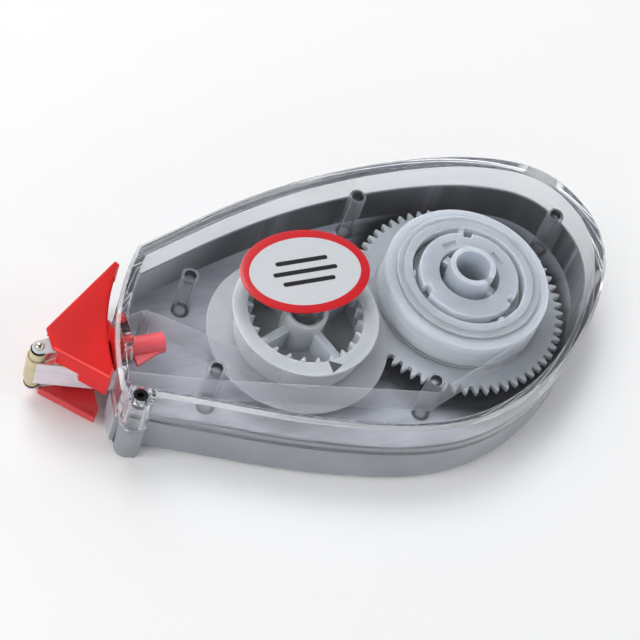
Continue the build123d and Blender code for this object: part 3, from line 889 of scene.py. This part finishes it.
    @classmethod
    def turned(
        cls,
        name: str,
        axis: Vector,
        profile: Sequence[Point],
        steps: int = 96,
        closed: bool = True,
    ) -> bpy.types.Object:
        """A piece turned about an upright axis, as on a lathe.

        Args:
            name: the piece's name.
            axis: a point on the axis, in millimetres.
            profile: radius and height of each point, in order.
            steps: segments round the axis.
            closed: joins the last point to the first.

        Returns:
            The turned piece.
        """
        cls.clear()
        first = Vector((axis.x + profile[0][0], axis.y, profile[0][1])) * MM
        bpy.ops.mesh.primitive_plane_add(size=MM, location=(0, 0, 0))
        piece = bpy.context.active_object
        piece.name = name
        with cls.editing(piece, "VERT"):
            bpy.ops.mesh.select_all(action="SELECT")
            bpy.ops.mesh.merge(type="CENTER")
            bpy.ops.transform.translate(value=first)
            for (r0, z0), (r1, z1) in zip(profile, profile[1:]):
                step = Vector((r1 - r0, 0, z1 - z0)) * MM
                bpy.ops.mesh.extrude_region_move(TRANSFORM_OT_translate={"value": step})
            if closed:
                bpy.ops.mesh.select_all(action="DESELECT")
                mesh = bmesh.from_edit_mesh(piece.data)
                for corner in mesh.verts:
                    corner.select_set(len(corner.link_edges) == 1)
                bmesh.update_edit_mesh(piece.data)
                bpy.ops.mesh.edge_face_add()
            bpy.ops.mesh.select_all(action="SELECT")
            bpy.ops.mesh.spin(
                steps=steps,
                angle=2 * math.pi,
                center=Vector((axis.x, axis.y, 0)) * MM,
                axis=(0, 0, 1),
                use_auto_merge=True,
            )
            bpy.ops.mesh.select_all(action="SELECT")
            bpy.ops.mesh.remove_doubles(threshold=cls.MERGE_TURNED * MM)
            bpy.ops.mesh.delete_loose()
            bpy.ops.mesh.select_all(action="SELECT")
            bpy.ops.mesh.normals_make_consistent(inside=False)
        cls.pick(piece)
        bpy.ops.object.transform_apply(location=True, rotation=True, scale=True)
        cls.smooth(piece)
        return piece

    @staticmethod
    def dress(
        piece: bpy.types.Object, material: bpy.types.Material, body: Body, slot: Slot, *nodes: str
    ) -> bpy.types.Object:
        """Gives a piece its finish and its body, and hides the nodes it stands for."""
        if not piece.data.materials:
            piece.data.materials.append(material)
        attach(piece, body.value)
        if nodes:
            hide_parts(*nodes)
        log.info("%s: %d faces on %s", piece.name, len(piece.data.polygons), body.value)
        return piece


# ------------------------------------------------------------------ case
class TrayZone(Enum):
    """Parts of the tray, each named after its finish."""

    OUTSIDE = "tray_outside"
    FLOOR = "tray_floor"
    INNER_WALL = "tray_inner_wall"
    POSTS = "tray_posts"
    HOLES = "tray_holes"
    FRONT = "tray_front"


class CoverZone(Enum):
    """Parts of the cover, each named after its finish."""

    CLEAR = "cover_clear_styrene"
    RIM = "cover_rim"


@dataclass
class CaseSet:
    """Grey tray, clear cover and the plug in its corner column."""

    finishes: Finishes
    tray_round: float = 0.14
    cover_round: float = 0.1
    cover_above: float = 30.0
    rim_depth: float = 1.4
    rim_slope: Point = (0.2, 0.95)
    plug_round: float = 0.08
    floor_level: float = 1.2
    floor_reach: float = 0.05
    wall_depth: float = 2.4
    post_level: float = 6.9
    hole_width: float = 1.6
    front_reach: float = 2.6788
    front_slope: float = -0.6
    under_slope: float = -0.3
    ray_gap: float = 0.02
    below_floor: float = -0.003
    foot_height: float = 0.35
    foot_reach: float = 2.3
    foot_taper: float = 0.84

    def build(self) -> None:
        """Makes and dresses the tray, the cover and the plug."""
        self.tray()
        self.cover()
        self.plug()

    def tray(self) -> bpy.types.Object:
        """The grey tray: outside, floor, inner wall, posts and their holes each with its own gloss; the
        floor, inner wall and holes carry painted shade, and the floor and inner wall painted reflections.
        """
        piece = Bench.copied("back_shell", "case_tray")
        names = [zone.value for zone in TrayZone]
        Bench.paint(piece, self.finishes, names, lambda face: self._zone(piece, face).value)
        Bench.soften(piece, self.tray_round)
        with Bench.editing(piece, "VERT"):
            Bench.choose_verts(piece, lambda c: c.z < self.below_floor)
            bpy.ops.transform.resize(value=(1, 1, 0), center_override=(0, 0, 0))
        self._taper_foot(piece)
        return Bench.dress(piece, self.finishes["tray_outside"], Body.CASE, Slot.SHELL, "back_shell")

    def _taper_foot(self, piece: bpy.types.Object) -> None:
        """Narrows the free side of the corner column towards its foot."""
        axis = middle_of("corner_plug")
        outward = axis.to_2d().normalized()

        def on_foot(corner: Vector) -> bool:
            """Whether a corner is on the free side of the column's foot."""
            arm = (corner - axis).to_2d()
            near = arm.length < self.foot_reach and arm.dot(outward) > 0
            return near and corner.z < self.foot_height

        with Bench.editing(piece, "VERT"):
            Bench.choose_verts(piece, on_foot)
            share = self.foot_taper
            bpy.ops.transform.resize(value=(share, share, 1), center_override=axis * MM)

    def _zone(self, piece: bpy.types.Object, face: bpy.types.MeshPolygon) -> TrayZone:
        """Which part of the tray a face belongs to.

        Args:
            piece: the tray.
            face: one of its faces.

        Returns:
            The zone, found from where lines off the face meet the tray again.
        """
        centre, normal = face.center, face.normal
        level = centre.z / MM
        if normal.z > FACES_UP and abs(level - self.floor_level) < self.floor_reach:
            return TrayZone.FLOOR
        column = middle_of("corner_plug") * MM
        beside = (centre - column).to_2d().length / MM > self.foot_reach
        if normal.x < self.front_slope and centre.x / MM < mouth() + self.front_reach and beside:
            return TrayZone.FRONT
        if level < self.floor_level or normal.z < self.under_slope:
            return TrayZone.OUTSIDE
        met, place, _, _ = piece.ray_cast(centre + normal * self.ray_gap * MM, normal)
        past_wall, _, _, _ = piece.ray_cast(centre - normal * self.wall_depth * MM, -normal)
        if normal.z > FACES_UP:
            return TrayZone.POSTS if past_wall or level > self.post_level else TrayZone.OUTSIDE
        if not met:
            return TrayZone.OUTSIDE
        if (place - centre).length / MM < self.hole_width:
            return TrayZone.HOLES
        return TrayZone.POSTS if past_wall else TrayZone.INNER_WALL

    def cover(self) -> bpy.types.Object:
        """The clear cover with moulded edge rounding; its rim carries a white veil that is a painted
        highlight.
        """
        piece = Bench.copied("front_cover", "clear_cover")
        rim_foot = top_of("front_cover") - self.rim_depth

        def zone(face: bpy.types.MeshPolygon) -> str:
            """The finish of a face of the cover."""
            sloping = self.rim_slope[0] < face.normal.z < self.rim_slope[1]
            on_rim = sloping and face.center.z / MM > rim_foot
            return (CoverZone.RIM if on_rim else CoverZone.CLEAR).value

        Bench.paint(piece, self.finishes, [part.value for part in CoverZone], zone)
        Bench.soften(piece, self.cover_round, above=self.cover_above)
        return Bench.dress(
            piece, self.finishes["cover_clear_styrene"], Body.CASE, Slot.COVER, "front_cover"
        )

    def plug(self) -> bpy.types.Object:
        """The black plug in the corner column; its black is painted shade, standing in for the shade in the
        mouth of the column's hole.
        """
        piece = Bench.copied("corner_plug", "column_plug")
        Bench.soften(piece, self.plug_round)
        return Bench.dress(piece, self.finishes["plug_black"], Body.CASE, Slot.PLUG, "corner_plug")


@dataclass
class Label:
    """Plain oval label with a raised frame and a ruled-line sign."""

    finishes: Finishes
    frame_width: float = 1.0
    frame_rise: float = 0.03
    edge_inset: float = 0.12
    step_inset: float = 0.05
    field_inset: float = 0.4
    smooth_below: float = 25.0
    line_length: float = 8.6
    line_shorter: float = 1.6
    line_width: float = 0.62
    line_round: float = 0.49
    line_gap: float = 1.55
    arrow_size: float = 1.05
    arrow_turn: float = -90.0
    arrow_shift: Point = (-1.1, -14.0)
    arrow_lift: float = 0.005
    arrow_round: float = 0.12

    def build(self) -> None:
        """Makes the oval plate, its frame and the sign on it."""
        self.plate()
        self.sign()
        self.arrow()

    def plate(self) -> bpy.types.Object:
        """The oval plate, raised at its frame."""
        low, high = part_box("badge")
        middle = (low + high) / 2
        size = high - low
        Bench.clear()
        bpy.ops.mesh.primitive_circle_add(vertices=96, radius=0.5, fill_type="NGON")
        piece = bpy.context.active_object
        piece.name = "label_plate"
        piece.location = (middle.x, middle.y, low.z)
        piece.scale = (size.x, size.y, 1)
        bpy.ops.object.transform_apply(location=True, rotation=True, scale=True)
        piece.data.materials.append(self.finishes["label_frame"])
        piece.data.materials.append(self.finishes["label_field"])
        body = (high.z - low.z) - self.frame_rise * MM
        with Bench.editing(piece):
            bpy.ops.mesh.select_all(action="SELECT")
            bpy.ops.mesh.extrude_region_move(TRANSFORM_OT_translate={"value": (0, 0, body)})
            above = low.z / MM + self.frame_rise
            Bench.choose_faces(piece, lambda c, n: abs(n.z) > FACES_UP and c.z > above)
            bpy.ops.mesh.inset(thickness=self.edge_inset * MM)
            Bench.rise(self.frame_rise)
            bpy.ops.mesh.inset(thickness=self.frame_width * MM)
            bpy.ops.mesh.inset(thickness=self.step_inset * MM)
            Bench.rise(-self.frame_rise)
            piece.active_material_index = 1
            bpy.ops.object.material_slot_assign()
            bpy.ops.mesh.inset(thickness=self.field_inset * MM)
            bpy.ops.mesh.select_all(action="SELECT")
            bpy.ops.mesh.normals_make_consistent(inside=False)
        Bench.smooth(piece, self.smooth_below)
        return Bench.dress(piece, self.finishes["label_frame"], Body.CASE, Slot.BADGE, "badge")

    def sign(self) -> None:
        """Three ruled lines, the middle one the longest."""
        low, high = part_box("badge")
        middle = (low + high) / 2
        field_z = high.z - self.frame_rise * MM
        for row in (-1, 0, 1):
            length = self.line_length - self.line_shorter * abs(row)
            centre = Vector((middle.x, middle.y + row * self.line_gap * MM, field_z))
            self._bar("label_line_" + "abc"[row + 1], centre, length)

    def arrow(self) -> bpy.types.Object:
        """A small printed arrow on the lid, pointing the way the tape is pulled."""
        low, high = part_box("badge")
        middle = (low + high) / 2
        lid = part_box("front_cover")[1].z
        Bench.clear()
        bpy.ops.mesh.primitive_circle_add(vertices=3, radius=self.arrow_size * MM, fill_type="NGON")
        piece = bpy.context.active_object
        piece.name = "feed_arrow"
        piece.rotation_euler = (0, 0, math.radians(self.arrow_turn))
        piece.location = (
            middle.x + self.arrow_shift[0] * MM,
            middle.y + self.arrow_shift[1] * MM,
            lid + self.arrow_lift * MM,
        )
        bpy.ops.object.transform_apply(location=True, rotation=True, scale=True)
        with Bench.editing(piece, "VERT"):
            Bench.thicken_print(self.arrow_round, 3)
        return Bench.dress(piece, self.finishes["label_grey"], Body.CASE, Slot.BADGE)

    def _bar(self, name: str, middle: Vector, length: float) -> None:
        """A thin printed bar with rounded ends, lying on the field.

        Args:
            name: the piece's name.
            middle: its middle, in metres.
            length: its length in millimetres.
        """
        Bench.clear()
        bpy.ops.mesh.primitive_plane_add(size=1, location=middle)
        piece = bpy.context.active_object
        piece.name = name
        piece.scale = (length * MM, self.line_width * MM, 1)
        bpy.ops.object.transform_apply(location=True, rotation=True, scale=True)
        with Bench.editing(piece, "VERT"):
            Bench.thicken_print(self.line_width * self.line_round, 5)
        Bench.dress(piece, self.finishes["label_ink"], Body.CASE, Slot.BADGE)


# ------------------------------------------------------------------ reels
@dataclass
class SupplyReel:
    """Geared hub, slipping clutch, spool and the roll of fresh tape."""

    finishes: Finishes
    axis: Vector
    gear_round: float = 0.07
    clutch_round: float = 0.12
    spool_round: float = 0.14
    plate_depth: float = 0.8
    plate_skirt: float = 1.05
    plate_reach: float = 0.05
    under_slope: float = -0.8
    well_span: Point = (5.6, 7.6)
    well_slope: float = 0.5
    roll_inner: float = 8.3
    ring_count: int = 9
    ring_dip: float = 0.014
    ring_share: Point = (0.12, 0.88)
    lip: Point = (0.05, 0.02)
    corner: float = 0.08

    def build(self) -> None:
        """Makes and dresses each piece on the supply axis."""
        gear = Bench.copied("supply_gear", "supply_gear_wheel")
        Bench.soften(gear, self.gear_round)
        Bench.dress(gear, self.finishes["milky_gear"], Body.DRIVE, Slot.MILKY, "supply_gear")
        self.clutch()
        spool = Bench.copied("supply_spool", "fresh_spool")
        self._paint_light_in_well(spool, "milky_spool")
        Bench.soften(spool, self.spool_round)
        Bench.dress(spool, self.finishes["milky_spool"], Body.SUPPLY, Slot.MILKY, "supply_spool")
        self.roll()
        ring = frame["nodes"]["friction_ring"]
        ring.material_slots[0].material = self.finishes["ring_rubber"]

    def clutch(self) -> bpy.types.Object:
        """The clutch, its plate skirted so that the well round it closes below."""
        clutch = Bench.copied("friction_clutch", "clutch_barrel")
        under = top_of("friction_clutch") - self.plate_depth

        def below_plate(centre: Vector, normal: Vector) -> bool:
            """Whether a face is the underside of the clutch's plate."""
            return normal.z < self.under_slope and abs(centre.z - under) < self.plate_reach

        with Bench.editing(clutch):
            Bench.choose_faces(clutch, below_plate)
            Bench.rise(-self.plate_skirt)
        self._paint_light_in_well(clutch, "milky_clutch")
        Bench.soften(clutch, self.clutch_round)
        return Bench.dress(
            clutch, self.finishes["milky_clutch"], Body.DRIVE, Slot.MILKY, "friction_clutch"
        )

    def _paint_light_in_well(self, piece: bpy.types.Object, finish: str) -> None:
        """Gives the walls of the well round the clutch's plate a lighter colour: painted light where shade
        falls in the well.

        Args:
            piece: the piece, just copied.
            finish: name of the finish of its other faces.
        """
        narrow, wide = self.well_span

        def name_of(face: bpy.types.MeshPolygon) -> str:
            """The finish of one face."""
            out = (face.center - self.axis * MM).to_2d().length / MM
            upright = abs(face.normal.z) < self.well_slope
            return "milky_well" if narrow < out < wide and upright else finish

        Bench.paint(piece, self.finishes, (finish, "milky_well"), name_of)

    def roll(self) -> bpy.types.Object:
        """The roll of fresh tape, whose faces dip a little between groups of turns."""
        node = "supply_tape_roll"
        outer, top, foot = radius_of(node), top_of(node), foot_of(node)
        step = (outer - self.roll_inner) / self.ring_count
        face = [(self.roll_inner, 0.0)]
        for ring in range(self.ring_count):
            for share in self.ring_share:
                face.append((self.roll_inner + (ring + share) * step, self.ring_dip * (ring % 2)))
        face.append((outer - self.lip[0], self.lip[1]))
        profile = [(r, top - dip) for r, dip in face]
        profile.append((outer, top - self.corner))
        profile.append((outer, foot + self.corner))
        profile += [(r, foot + dip) for r, dip in reversed(face)]
        piece = Bench.turned("fresh_roll", self.axis, profile)
        return Bench.dress(piece, self.finishes["fresh_winding"], Body.SUPPLY, Slot.TAPE, node)


@dataclass
class TakeUpReel:
    """Driven gear, open drum and the used backing wound on it."""

    finishes: Finishes
    axis: Vector
    gear_round: float = 0.07
    drum_round: float = 0.11
    wound: float = 0.45
    inner_dip: float = 0.03
    lip: Point = (0.05, 0.02)
    corner: float = 0.08

    def build(self) -> None:
        """Makes and dresses each piece on the take-up axis."""
        gear = Bench.copied("takeup_gear", "takeup_gear_wheel")
        Bench.soften(gear, self.gear_round)
        Bench.dress(gear, self.finishes["milky_gear"], Body.TAKEUP, Slot.MILKY, "takeup_gear")
        drum = Bench.copied("takeup_spool", "takeup_drum")
        Bench.soften(drum, self.drum_round)
        Bench.dress(drum, self.finishes["milky_drum"], Body.TAKEUP, Slot.MILKY, "takeup_spool")
        self.wound_backing()

    def wound_backing(self) -> bpy.types.Object:
        """The thin winding of used backing on the drum."""
        node = "takeup_tape_roll"
        outer, top, foot = radius_of(node), top_of(node), foot_of(node)
        inner = outer - self.wound
        half = (
            (inner, self.inner_dip),
            ((outer + inner) / 2, 0.0),
            (outer - self.lip[0], self.lip[1]),
            (outer, self.corner),
        )
        profile = [(r, top - dip) for r, dip in half]
        profile += [(r, foot + dip) for r, dip in reversed(half)]
        piece = Bench.turned("used_winding", self.axis, profile)
        return Bench.dress(piece, self.finishes["used_winding"], Body.TAKEUP, Slot.BACKING, node)


# ------------------------------------------------------------------ head
class HeadZone(Enum):
    """Parts of the head frame, each named after its finish."""

    SKIN = "head_red"
    SHANK = "shank_rose"
    CREASE = "head_crease"
    KEEL = "head_low"


@dataclass
class RockingHead:
    """Red head frame, its clip and yoke, and the roller at its tip."""

    finishes: Finishes
    tip: Vector
    frame_round: float = 0.13
    frame_above: float = 30.0
    small_round: float = 0.06
    yoke_round: float = 0.09
    shank_from: float = 4.2
    keel_slope: float = 0.8
    keel_floor: float = 1.95
    keel_fill: float = 0.5
    keel_top: float = 3.6
    crease_depth: float = 0.5
    crease_slope: Point = (0.3, 0.93)
    crease_side: float = -0.2
    bore_share: float = 0.42
    chamfer: Point = (0.06, 0.08)
    roller_edge: Tuple[Point, ...] = ((0.14, 0.0), (0.04, 0.05), (0.02, 0.45))
    pin_radius: float = 0.36
    dome_rise: float = 0.45
    dome_step: int = 12
    pole: float = 0.0001

    def build(self) -> None:
        """Makes and dresses each piece of the head."""
        self.shell()
        for node, name, rounding, finish, slot in (
            ("head_clip", "shank_clip", self.small_round, "pin_steel", Slot.STEEL),
            ("roller_yoke", "tip_yoke", self.yoke_round, "yoke_white", Slot.YOKE),
            # The collars' black stands in for the shadow gaps at the roller's ends: painted shade.
            ("roller_collars", "tip_collars", self.small_round, "plug_black", Slot.YOKE),
        ):
            piece = Bench.copied(node, name)
            Bench.soften(piece, rounding)
            Bench.dress(piece, self.finishes[finish], Body.HEAD, slot, node)
        self.roller()
        self.pin()

    def shell(self) -> bpy.types.Object:
        """The red frame: skin, shank, keel and the crease along the near edge; the crease has a painted
        highlight, the shank a lighter painted reflection, and the keel painted shade.
        """
        shell = Bench.copied("head_frame", "head_shell")
        with Bench.editing(shell):
            Bench.choose_faces(shell, lambda c, n: n.z > self.keel_slope and c.z < self.keel_floor)
            Bench.rise(self.keel_fill)
        Bench.paint(shell, self.finishes, [zone.value for zone in HeadZone], self._part_of)
        Bench.soften(shell, self.frame_round, above=self.frame_above)
        crease = list(HeadZone).index(HeadZone.CREASE)
        for face in shell.data.polygons:
            if self._on_crease(face):
                face.material_index = crease
        return Bench.dress(shell, self.finishes["head_red"], Body.HEAD, Slot.HEAD, "head_frame")

    def _part_of(self, face: bpy.types.MeshPolygon) -> str:
        """The finish of a face of the frame, before its edges are rounded."""
        along, level = face.center.x / MM, face.center.z / MM
        if along > mouth() + self.shank_from:
            return HeadZone.SHANK.value
        return (HeadZone.KEEL if level < self.keel_top and along < mouth() else HeadZone.SKIN).value

    def _on_crease(self, face: bpy.types.MeshPolygon) -> bool:
        """Whether a face belongs to the rounding of the top plate's near edge."""
        low, high = self.crease_slope
        sloping = low < face.normal.z < high and face.normal.y < self.crease_side
        raised = face.center.z / MM > top_of("head_frame") - self.crease_depth
        return sloping and raised and face.center.x / MM < mouth()

    def roller(self) -> bpy.types.Object:
        """The tan roller, barrelled a little and relieved at its ends."""
        node = "tip_roller"
        radius, top, foot = radius_of(node), top_of(node), foot_of(node)
        bore = radius * self.bore_share
        half = [(bore, self.chamfer[1]), (bore + self.chamfer[0], 0.0)]
        half += [(radius - inward, dip) for inward, dip in self.roller_edge]
        profile = [(r, top - dip) for r, dip in half]
        profile.append((radius, (top + foot) / 2))
        profile += [(r, foot + dip) for r, dip in reversed(half)]
        piece = Bench.turned("press_roller", self.tip, profile, steps=64)
        return Bench.dress(piece, self.finishes["roller_tan"], Body.TIP, Slot.ROLLER, node)

    def pin(self) -> bpy.types.Object:
        """The steel pin with its domed head."""
        node = "tip_pin"
        head, top, foot = radius_of(node), top_of(node), foot_of(node)
        shaft, corner, seat = self.pin_radius, self.chamfer[1], top - self.dome_rise
        profile = [(self.pole, foot), (shaft - corner, foot), (shaft, foot + corner), (shaft, seat)]
        for degrees in range(0, 90, self.dome_step):
            turn = math.radians(degrees)
            profile.append((head * math.cos(turn), seat + self.dome_rise * math.sin(turn)))
        profile.append((self.pole, top))
        piece = Bench.turned("tip_axle", self.tip, profile, steps=48, closed=False)
        return Bench.dress(piece, self.finishes["pin_steel"], Body.HEAD, Slot.STEEL, node)


# ------------------------------------------------------------------ tape
class TapeZone(Enum):
    """Stretches of the free tape, each named after its finish."""

    IN_CASE = "fresh_tape_inside"
    AT_HEAD = "fresh_tape_film"
    ROUND_TIP = "tape_liner"
    USED = "used_backing_film"


@dataclass
class TapePath:
    """The free tape: from the roll to the tip and back to the drum, whole across the joint."""

    finishes: Finishes
    pivot: Vector
    tip: Vector
    twist_in: float = 5.0
    twist_out: float = 0.15
    cut_from: float = 0.3
    cut_step: float = 0.45
    gap_reach: float = 0.4
    end_slope: float = 0.8
    smooth_below: float = 30.0
    tip_reach: float = 0.3
    used_side: float = 0.4
    head_reach: float = 0.2

    def build(self) -> bpy.types.Object:
        """Joins the three packed runs, bridges the gaps in each strand and cuts it across between case and
        head.

        Returns:
            The finished strand.
        """
        nodes = ("supply_tape_run", "head_tape_loop", "return_tape_run")
        seam = (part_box(nodes[0])[0].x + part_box(nodes[1])[1].x) / 2 / MM
        runs = [Bench.copied(node, node + "_copy") for node in nodes]
        Bench.clear()
        for run in runs:
            run.select_set(True)
        bpy.context.view_layer.objects.active = runs[0]
        bpy.ops.object.join()
        piece = bpy.context.active_object
        piece.name = "tape_strand"
        for side in (-1, 1):
            self._close_gap(piece, seam, side)
        self._cut(piece, seam)
        names = [zone.value for zone in TapeZone]
        Bench.paint(piece, self.finishes, names, lambda face: self._zone(face.center / MM, seam).value)
        Bench.smooth(piece, self.smooth_below)
        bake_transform(piece)
        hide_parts(*nodes)
        log.info("%s: %d faces from case to head", piece.name, len(piece.data.polygons))
        return piece

    def _close_gap(self, piece: bpy.types.Object, seam: float, side: int) -> None:
        """Bridges the two end faces of one strand.

        Args:
            piece: the joined runs.
            seam: where the runs end, along X.
            side: -1 for the near strand and 1 for the far one.
        """

        def is_end(centre: Vector, normal: Vector) -> bool:
            """Whether a face ends a run on this side of the head's axis."""
            at_seam = abs(centre.x - seam) < self.gap_reach and abs(normal.x) > self.end_slope
            return at_seam and (centre.y - self.pivot.y) * side > 0

        with Bench.editing(piece):
            Bench.choose_faces(piece, is_end)
            bpy.ops.mesh.bridge_edge_loops()

    def _cut(self, piece: bpy.types.Object, seam: float) -> None:
        """Cuts the strands across at even steps past the seam."""
        count = int(self.twist_in / self.cut_step)
        with Bench.editing(piece):
            for step in range(count):
                x = (seam + self.cut_from + step * self.cut_step) * MM
                bpy.ops.mesh.select_all(action="SELECT")
                bpy.ops.mesh.bisect(plane_co=(x, 0, 0), plane_no=(1, 0, 0))

    def _zone(self, centre: Vector, seam: float) -> TapeZone:
        """Which stretch of the tape a face's centre, in millimetres, belongs to.

        Args:
            centre: the face's centre.
            seam: where the runs met, along X.

        Returns:
            The stretch.
        """
        if centre.x < self.tip.x + self.tip_reach:
            return TapeZone.ROUND_TIP
        used_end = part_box("return_tape_run")[1].x / MM + self.gap_reach
        if centre.y > self.pivot.y + self.used_side and centre.x < used_end:
            return TapeZone.USED
        return TapeZone.AT_HEAD if centre.x < seam + self.head_reach else TapeZone.IN_CASE


# ------------------------------------------------------------------ studio
@dataclass(frozen=True)
class SoftBox:
    """One square lamp that looks at the origin, with its place and size in metres."""

    name: str
    place: Tuple[float, float, float]
    size: float
    power: float

    def light(self) -> None:
        """Puts the lamp in the scene."""
        data = bpy.data.lights.new(self.name, "AREA")
        data.size = self.size
        data.energy = self.power
        lamp = bpy.data.objects.new(self.name, data)
        lamp.location = self.place
        lamp.rotation_euler = (-Vector(self.place)).to_track_quat("-Z", "Y").to_euler()
        bpy.context.scene.collection.objects.link(lamp)


@dataclass
class Studio:
    """Pale floor, soft lamps and the camera."""

    floor_size_m: float = 6.0
    floor_drop: float = 0.02
    floor_pale: Colour = (0.97, 0.97, 0.97, 1)
    floor_shade: Colour = (0.955, 0.955, 0.96, 1)
    sky: Colour = (0.98, 0.99, 1.0, 1)
    world_light: float = 1.3
    zenith_light: float = 0.14
    fall_from: float = 0.15
    fall_to: float = 0.75
    camera_at: Tuple[float, float, float] = (-122.501, -131.586, 227.251)
    lens: float = 123.6
    sensor: float = 36.0
    clip_start_m: float = 0.01
    right: Tuple[float, float, float] = (0.916158, -0.329984, 0.22752)
    up: Tuple[float, float, float] = (0.156766, 0.817422, 0.554297)
    back: Tuple[float, float, float] = (-0.368889, -0.472156, 0.800618)

    def build(self) -> None:
        """Sets up the floor, the light and the camera."""
        self.floor()
        self.world()
        self.lamps()
        self.camera()
        bpy.context.scene.view_settings.view_transform = "Standard"

    def floor(self) -> None:
        """A plain pale floor under the object."""
        Bench.clear()
        place = (0, 0, -self.floor_drop * MM)
        bpy.ops.mesh.primitive_plane_add(size=self.floor_size_m, location=place)
        floor = bpy.context.active_object
        floor.name = "floor"
        graph = Graph("floor_pale")
        cloud = graph.noise(graph.place(), 0.01, 2.0)
        colour = graph.mix(cloud, self.floor_pale, self.floor_shade)
        floor.data.materials.append(graph.finish(graph.principled(Base_Color=colour, Roughness=0.9)))

    def world(self) -> None:
        """White surroundings that fall off towards the zenith."""
        world = bpy.data.worlds.new("soft_white")
        bpy.context.scene.world = world
        world.use_nodes = True
        nodes, links = world.node_tree.nodes, world.node_tree.links
        way = nodes.new("ShaderNodeTexCoord")
        split = nodes.new("ShaderNodeSeparateXYZ")
        fall = nodes.new("ShaderNodeMapRange")
        fall.interpolation_type = "SMOOTHSTEP"
        fall.inputs["From Min"].default_value = self.fall_from
        fall.inputs["From Max"].default_value = self.fall_to
        fall.inputs["To Min"].default_value = self.world_light
        fall.inputs["To Max"].default_value = self.zenith_light
        links.new(way.outputs["Generated"], split.inputs[0])
        links.new(split.outputs["Z"], fall.inputs["Value"])
        sky = nodes["Background"]
        sky.inputs["Color"].default_value = self.sky
        links.new(fall.outputs["Result"], sky.inputs["Strength"])

    def lamps(self) -> None:
        """Three soft boxes: behind, at the left and at the right."""
        for box in (
            SoftBox("lamp_back", (-0.10, 0.45, 0.55), 0.40, 2.3),
            SoftBox("lamp_left", (-0.55, -0.05, 0.45), 0.35, 1.7),
            SoftBox("lamp_right", (0.50, -0.25, 0.50), 0.30, 0.7),
        ):
            box.light()

    def camera(self) -> None:
        """The camera, looking down from the near left."""
        data = bpy.data.cameras.new("camera")
        data.lens = self.lens
        data.sensor_width = self.sensor
        data.clip_start = self.clip_start_m
        camera = bpy.data.objects.new("camera", data)
        bpy.context.scene.collection.objects.link(camera)
        turn = Matrix((self.right, self.up, self.back)).transposed().to_4x4()
        camera.matrix_world = Matrix.Translation(Vector(self.camera_at) * MM) @ turn
        bpy.context.scene.camera = camera


def main() -> None:
    """Builds every sub-assembly in order."""
    logging.basicConfig(level=logging.INFO, format="%(message)s", stream=sys.stdout)
    supply = middle_of("supply_tape_roll")
    takeup = middle_of("takeup_tape_roll")
    tip = middle_of("tip_roller")
    finishes = Finishes(supply, takeup, tip)
    Studio().build()
    CaseSet(finishes).build()
    Label(finishes).build()
    SupplyReel(finishes, supply).build()
    TakeUpReel(finishes, takeup).build()
    RockingHead(finishes, tip).build()
    pivot = Vector(next(j for j in frame["joints"] if j["name"] == "head_rock")["pos_m"]) / MM
    TapePath(finishes, pivot, tip).build()
    Bench.clear()


if __name__ == "__main__":
    main()
